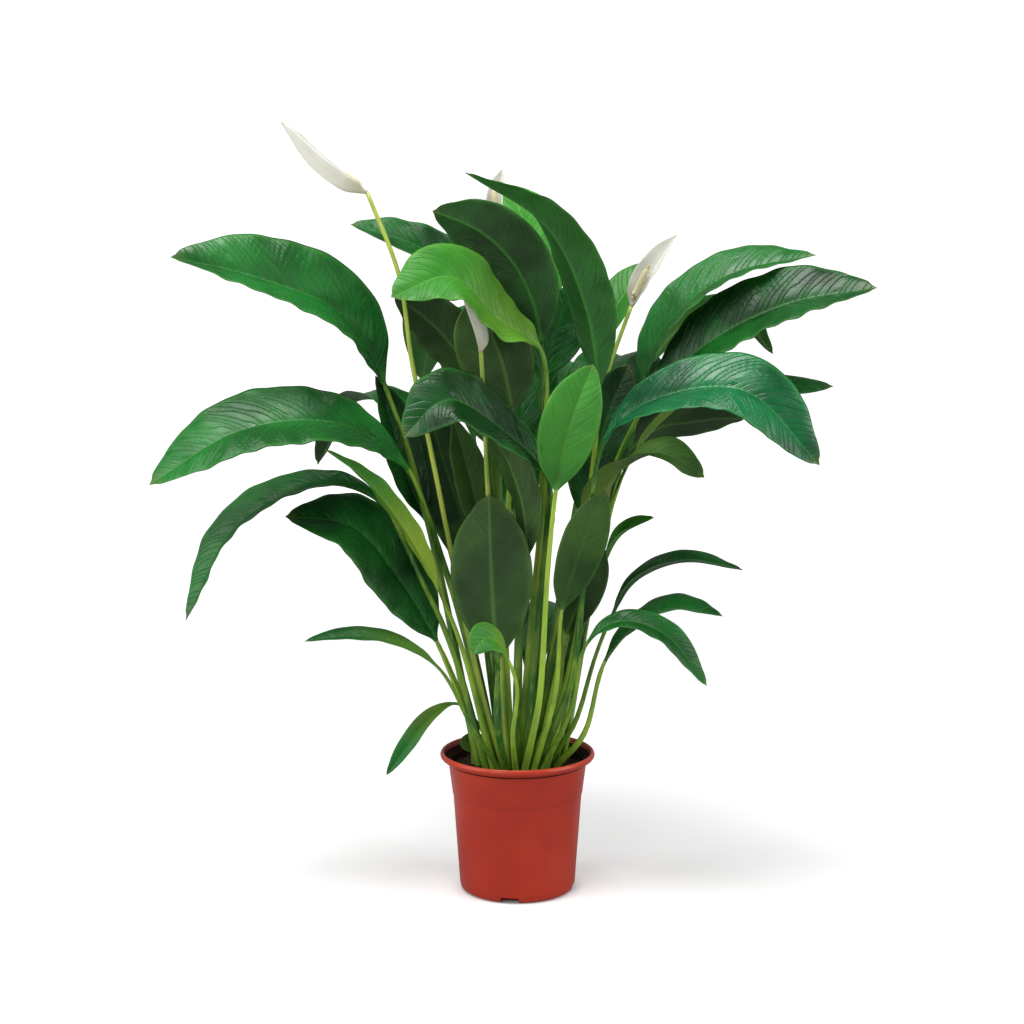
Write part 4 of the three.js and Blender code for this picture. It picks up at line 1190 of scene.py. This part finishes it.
def make_camera():
    camera = bpy.data.objects.new("camera", bpy.data.cameras.new("camera"))
    bpy.context.scene.collection.objects.link(camera)
    camera.data.sensor_width = 36
    camera.data.lens = 73.97
    camera.data.clip_end = 50
    camera.location = (-0.006, -2.25, 0.754)
    camera.rotation_euler = (math.radians(90 - 8.45), 0, 0)
    bpy.context.scene.camera = camera


def stage_material():
    """A pale matt floor: bright to look at, and a duller grey in what it throws back on the plant. Its glow
    fades out under the pot and just round its foot, a painted shade there.
    """
    material = new_material("pale_floor")
    tree = Tree(material.node_tree)
    pale = tree.blend(tree.noise(3, 2), (0.84, 0.84, 0.84), (0.9, 0.9, 0.9))
    seen = principled(tree, pale, 0.8, None)
    away = tree.math("SUBTRACT", 1.0, tree.attribute("near"), clamp=True)
    outside_pot_shade = tree.math("SUBTRACT", 1.0, tree.attribute("painted_pot_shade"), clamp=True)
    # Painted shade: no glow under the pot, fading in just round its foot.
    shine = tree.math("MULTIPLY", outside_pot_shade, tree.between(away, 0, 1, 0.3, 0.9))
    glow = tree.add("ShaderNodeEmission", Color=(1, 1, 1), Strength=shine)
    bright = tree.add("ShaderNodeAddShader", _0=seen, _1=glow.outputs[0])
    matt = principled(tree, (0.4, 0.4, 0.4), 0.9, None)
    spread = tree.math("MULTIPLY", away, FILL_LIGHT)
    fill = tree.add("ShaderNodeEmission", Color=(1, 1, 1), Strength=spread)
    dull = tree.add("ShaderNodeAddShader", _0=matt, _1=fill.outputs[0])
    view = tree.tree.nodes.new("ShaderNodeLightPath").outputs["Is Camera Ray"]
    both = tree.add("ShaderNodeMixShader", _0=view, _1=dull.outputs[0], _2=bright.outputs[0])
    tree.finish(both.outputs[0])
    material.cycles.emission_sampling = "NONE"
    return material


def make_stage():
    """A round pale floor that curves up into a wall on every side."""
    edge = FLOOR_RADII[-1]
    profile = [(radius, 0.0) for radius in FLOOR_RADII]
    for turn in np.linspace(0.15, math.pi / 2, 10):
        profile.append((edge + WALL_CURVE * math.sin(turn), WALL_CURVE - WALL_CURVE * math.cos(turn)))
    profile.append((edge + WALL_CURVE, WALL_TOP))
    built = bmesh.new()
    near = built.verts.layers.float.new("near")
    painted_pot_shade = built.verts.layers.float.new("painted_pot_shade")
    centre = built.verts.new((0, 0, 0))
    centre[near] = 1.0
    centre[painted_pot_shade] = 1.0
    rings = []
    for radius, height in profile:
        ring = [built.verts.new(point) for point in ring_of_points(radius, height, FLOOR_SIDES)]
        for corner in ring:
            corner[near] = float(smoothstep(3.2, 0.8, radius))
            # Painted shade under and just round the pot's foot: the floor's glow is taken away there.
            corner[painted_pot_shade] = float(smoothstep(0.075, 0.05, radius))
        rings.append(ring)
    for k in range(FLOOR_SIDES):
        n = (k + 1) % FLOOR_SIDES
        built.faces.new((centre, rings[0][k], rings[0][n]))
        for low, high in zip(rings, rings[1:]):
            built.faces.new((low[k], high[k], high[n], low[n]))
    mesh = bpy.data.meshes.new("floor")
    built.to_mesh(mesh)
    built.free()
    mesh.polygons.foreach_set("use_smooth", [True] * len(mesh.polygons))
    mesh.materials.append(stage_material())
    linked("floor", mesh)


def area_light(name, place, target, size, power):
    lamp = bpy.data.lights.new(name, "AREA")
    lamp.shape = "RECTANGLE"
    lamp.size, lamp.size_y = size
    lamp.energy = power
    light = bpy.data.objects.new(name, lamp)
    light.location = place
    light.rotation_euler = (Vector(target) - Vector(place)).to_track_quat("-Z", "Y").to_euler()
    bpy.context.scene.collection.objects.link(light)


def make_lights():
    area_light("overhead", (-0.3, -0.6, 2.7), (0, 0, 0.5), (1.5, 1.3), 62)
    area_light("front", (-1.3, -2.6, 1.5), (0, 0, 0.4), (1.2, 1.2), 15)
    area_light("left_side", (-1.9, -0.7, 0.8), (0, 0, 0.35), (1.5, 2.0), 22)
    area_light("right_side", (1.9, -0.7, 0.8), (0, 0, 0.35), (1.5, 2.0), 26)
    world = bpy.data.worlds.new("studio")
    world.use_nodes = True
    background = world.node_tree.nodes["Background"]
    background.inputs["Color"].default_value = (1, 1, 1, 1)
    background.inputs["Strength"].default_value = 0.18
    bpy.context.scene.world = world
    bpy.context.scene.view_settings.view_transform = "Standard"


make_camera()
make_stage()
make_lights()
make_pot()
make_soil()
make_leaves()
make_flowers()
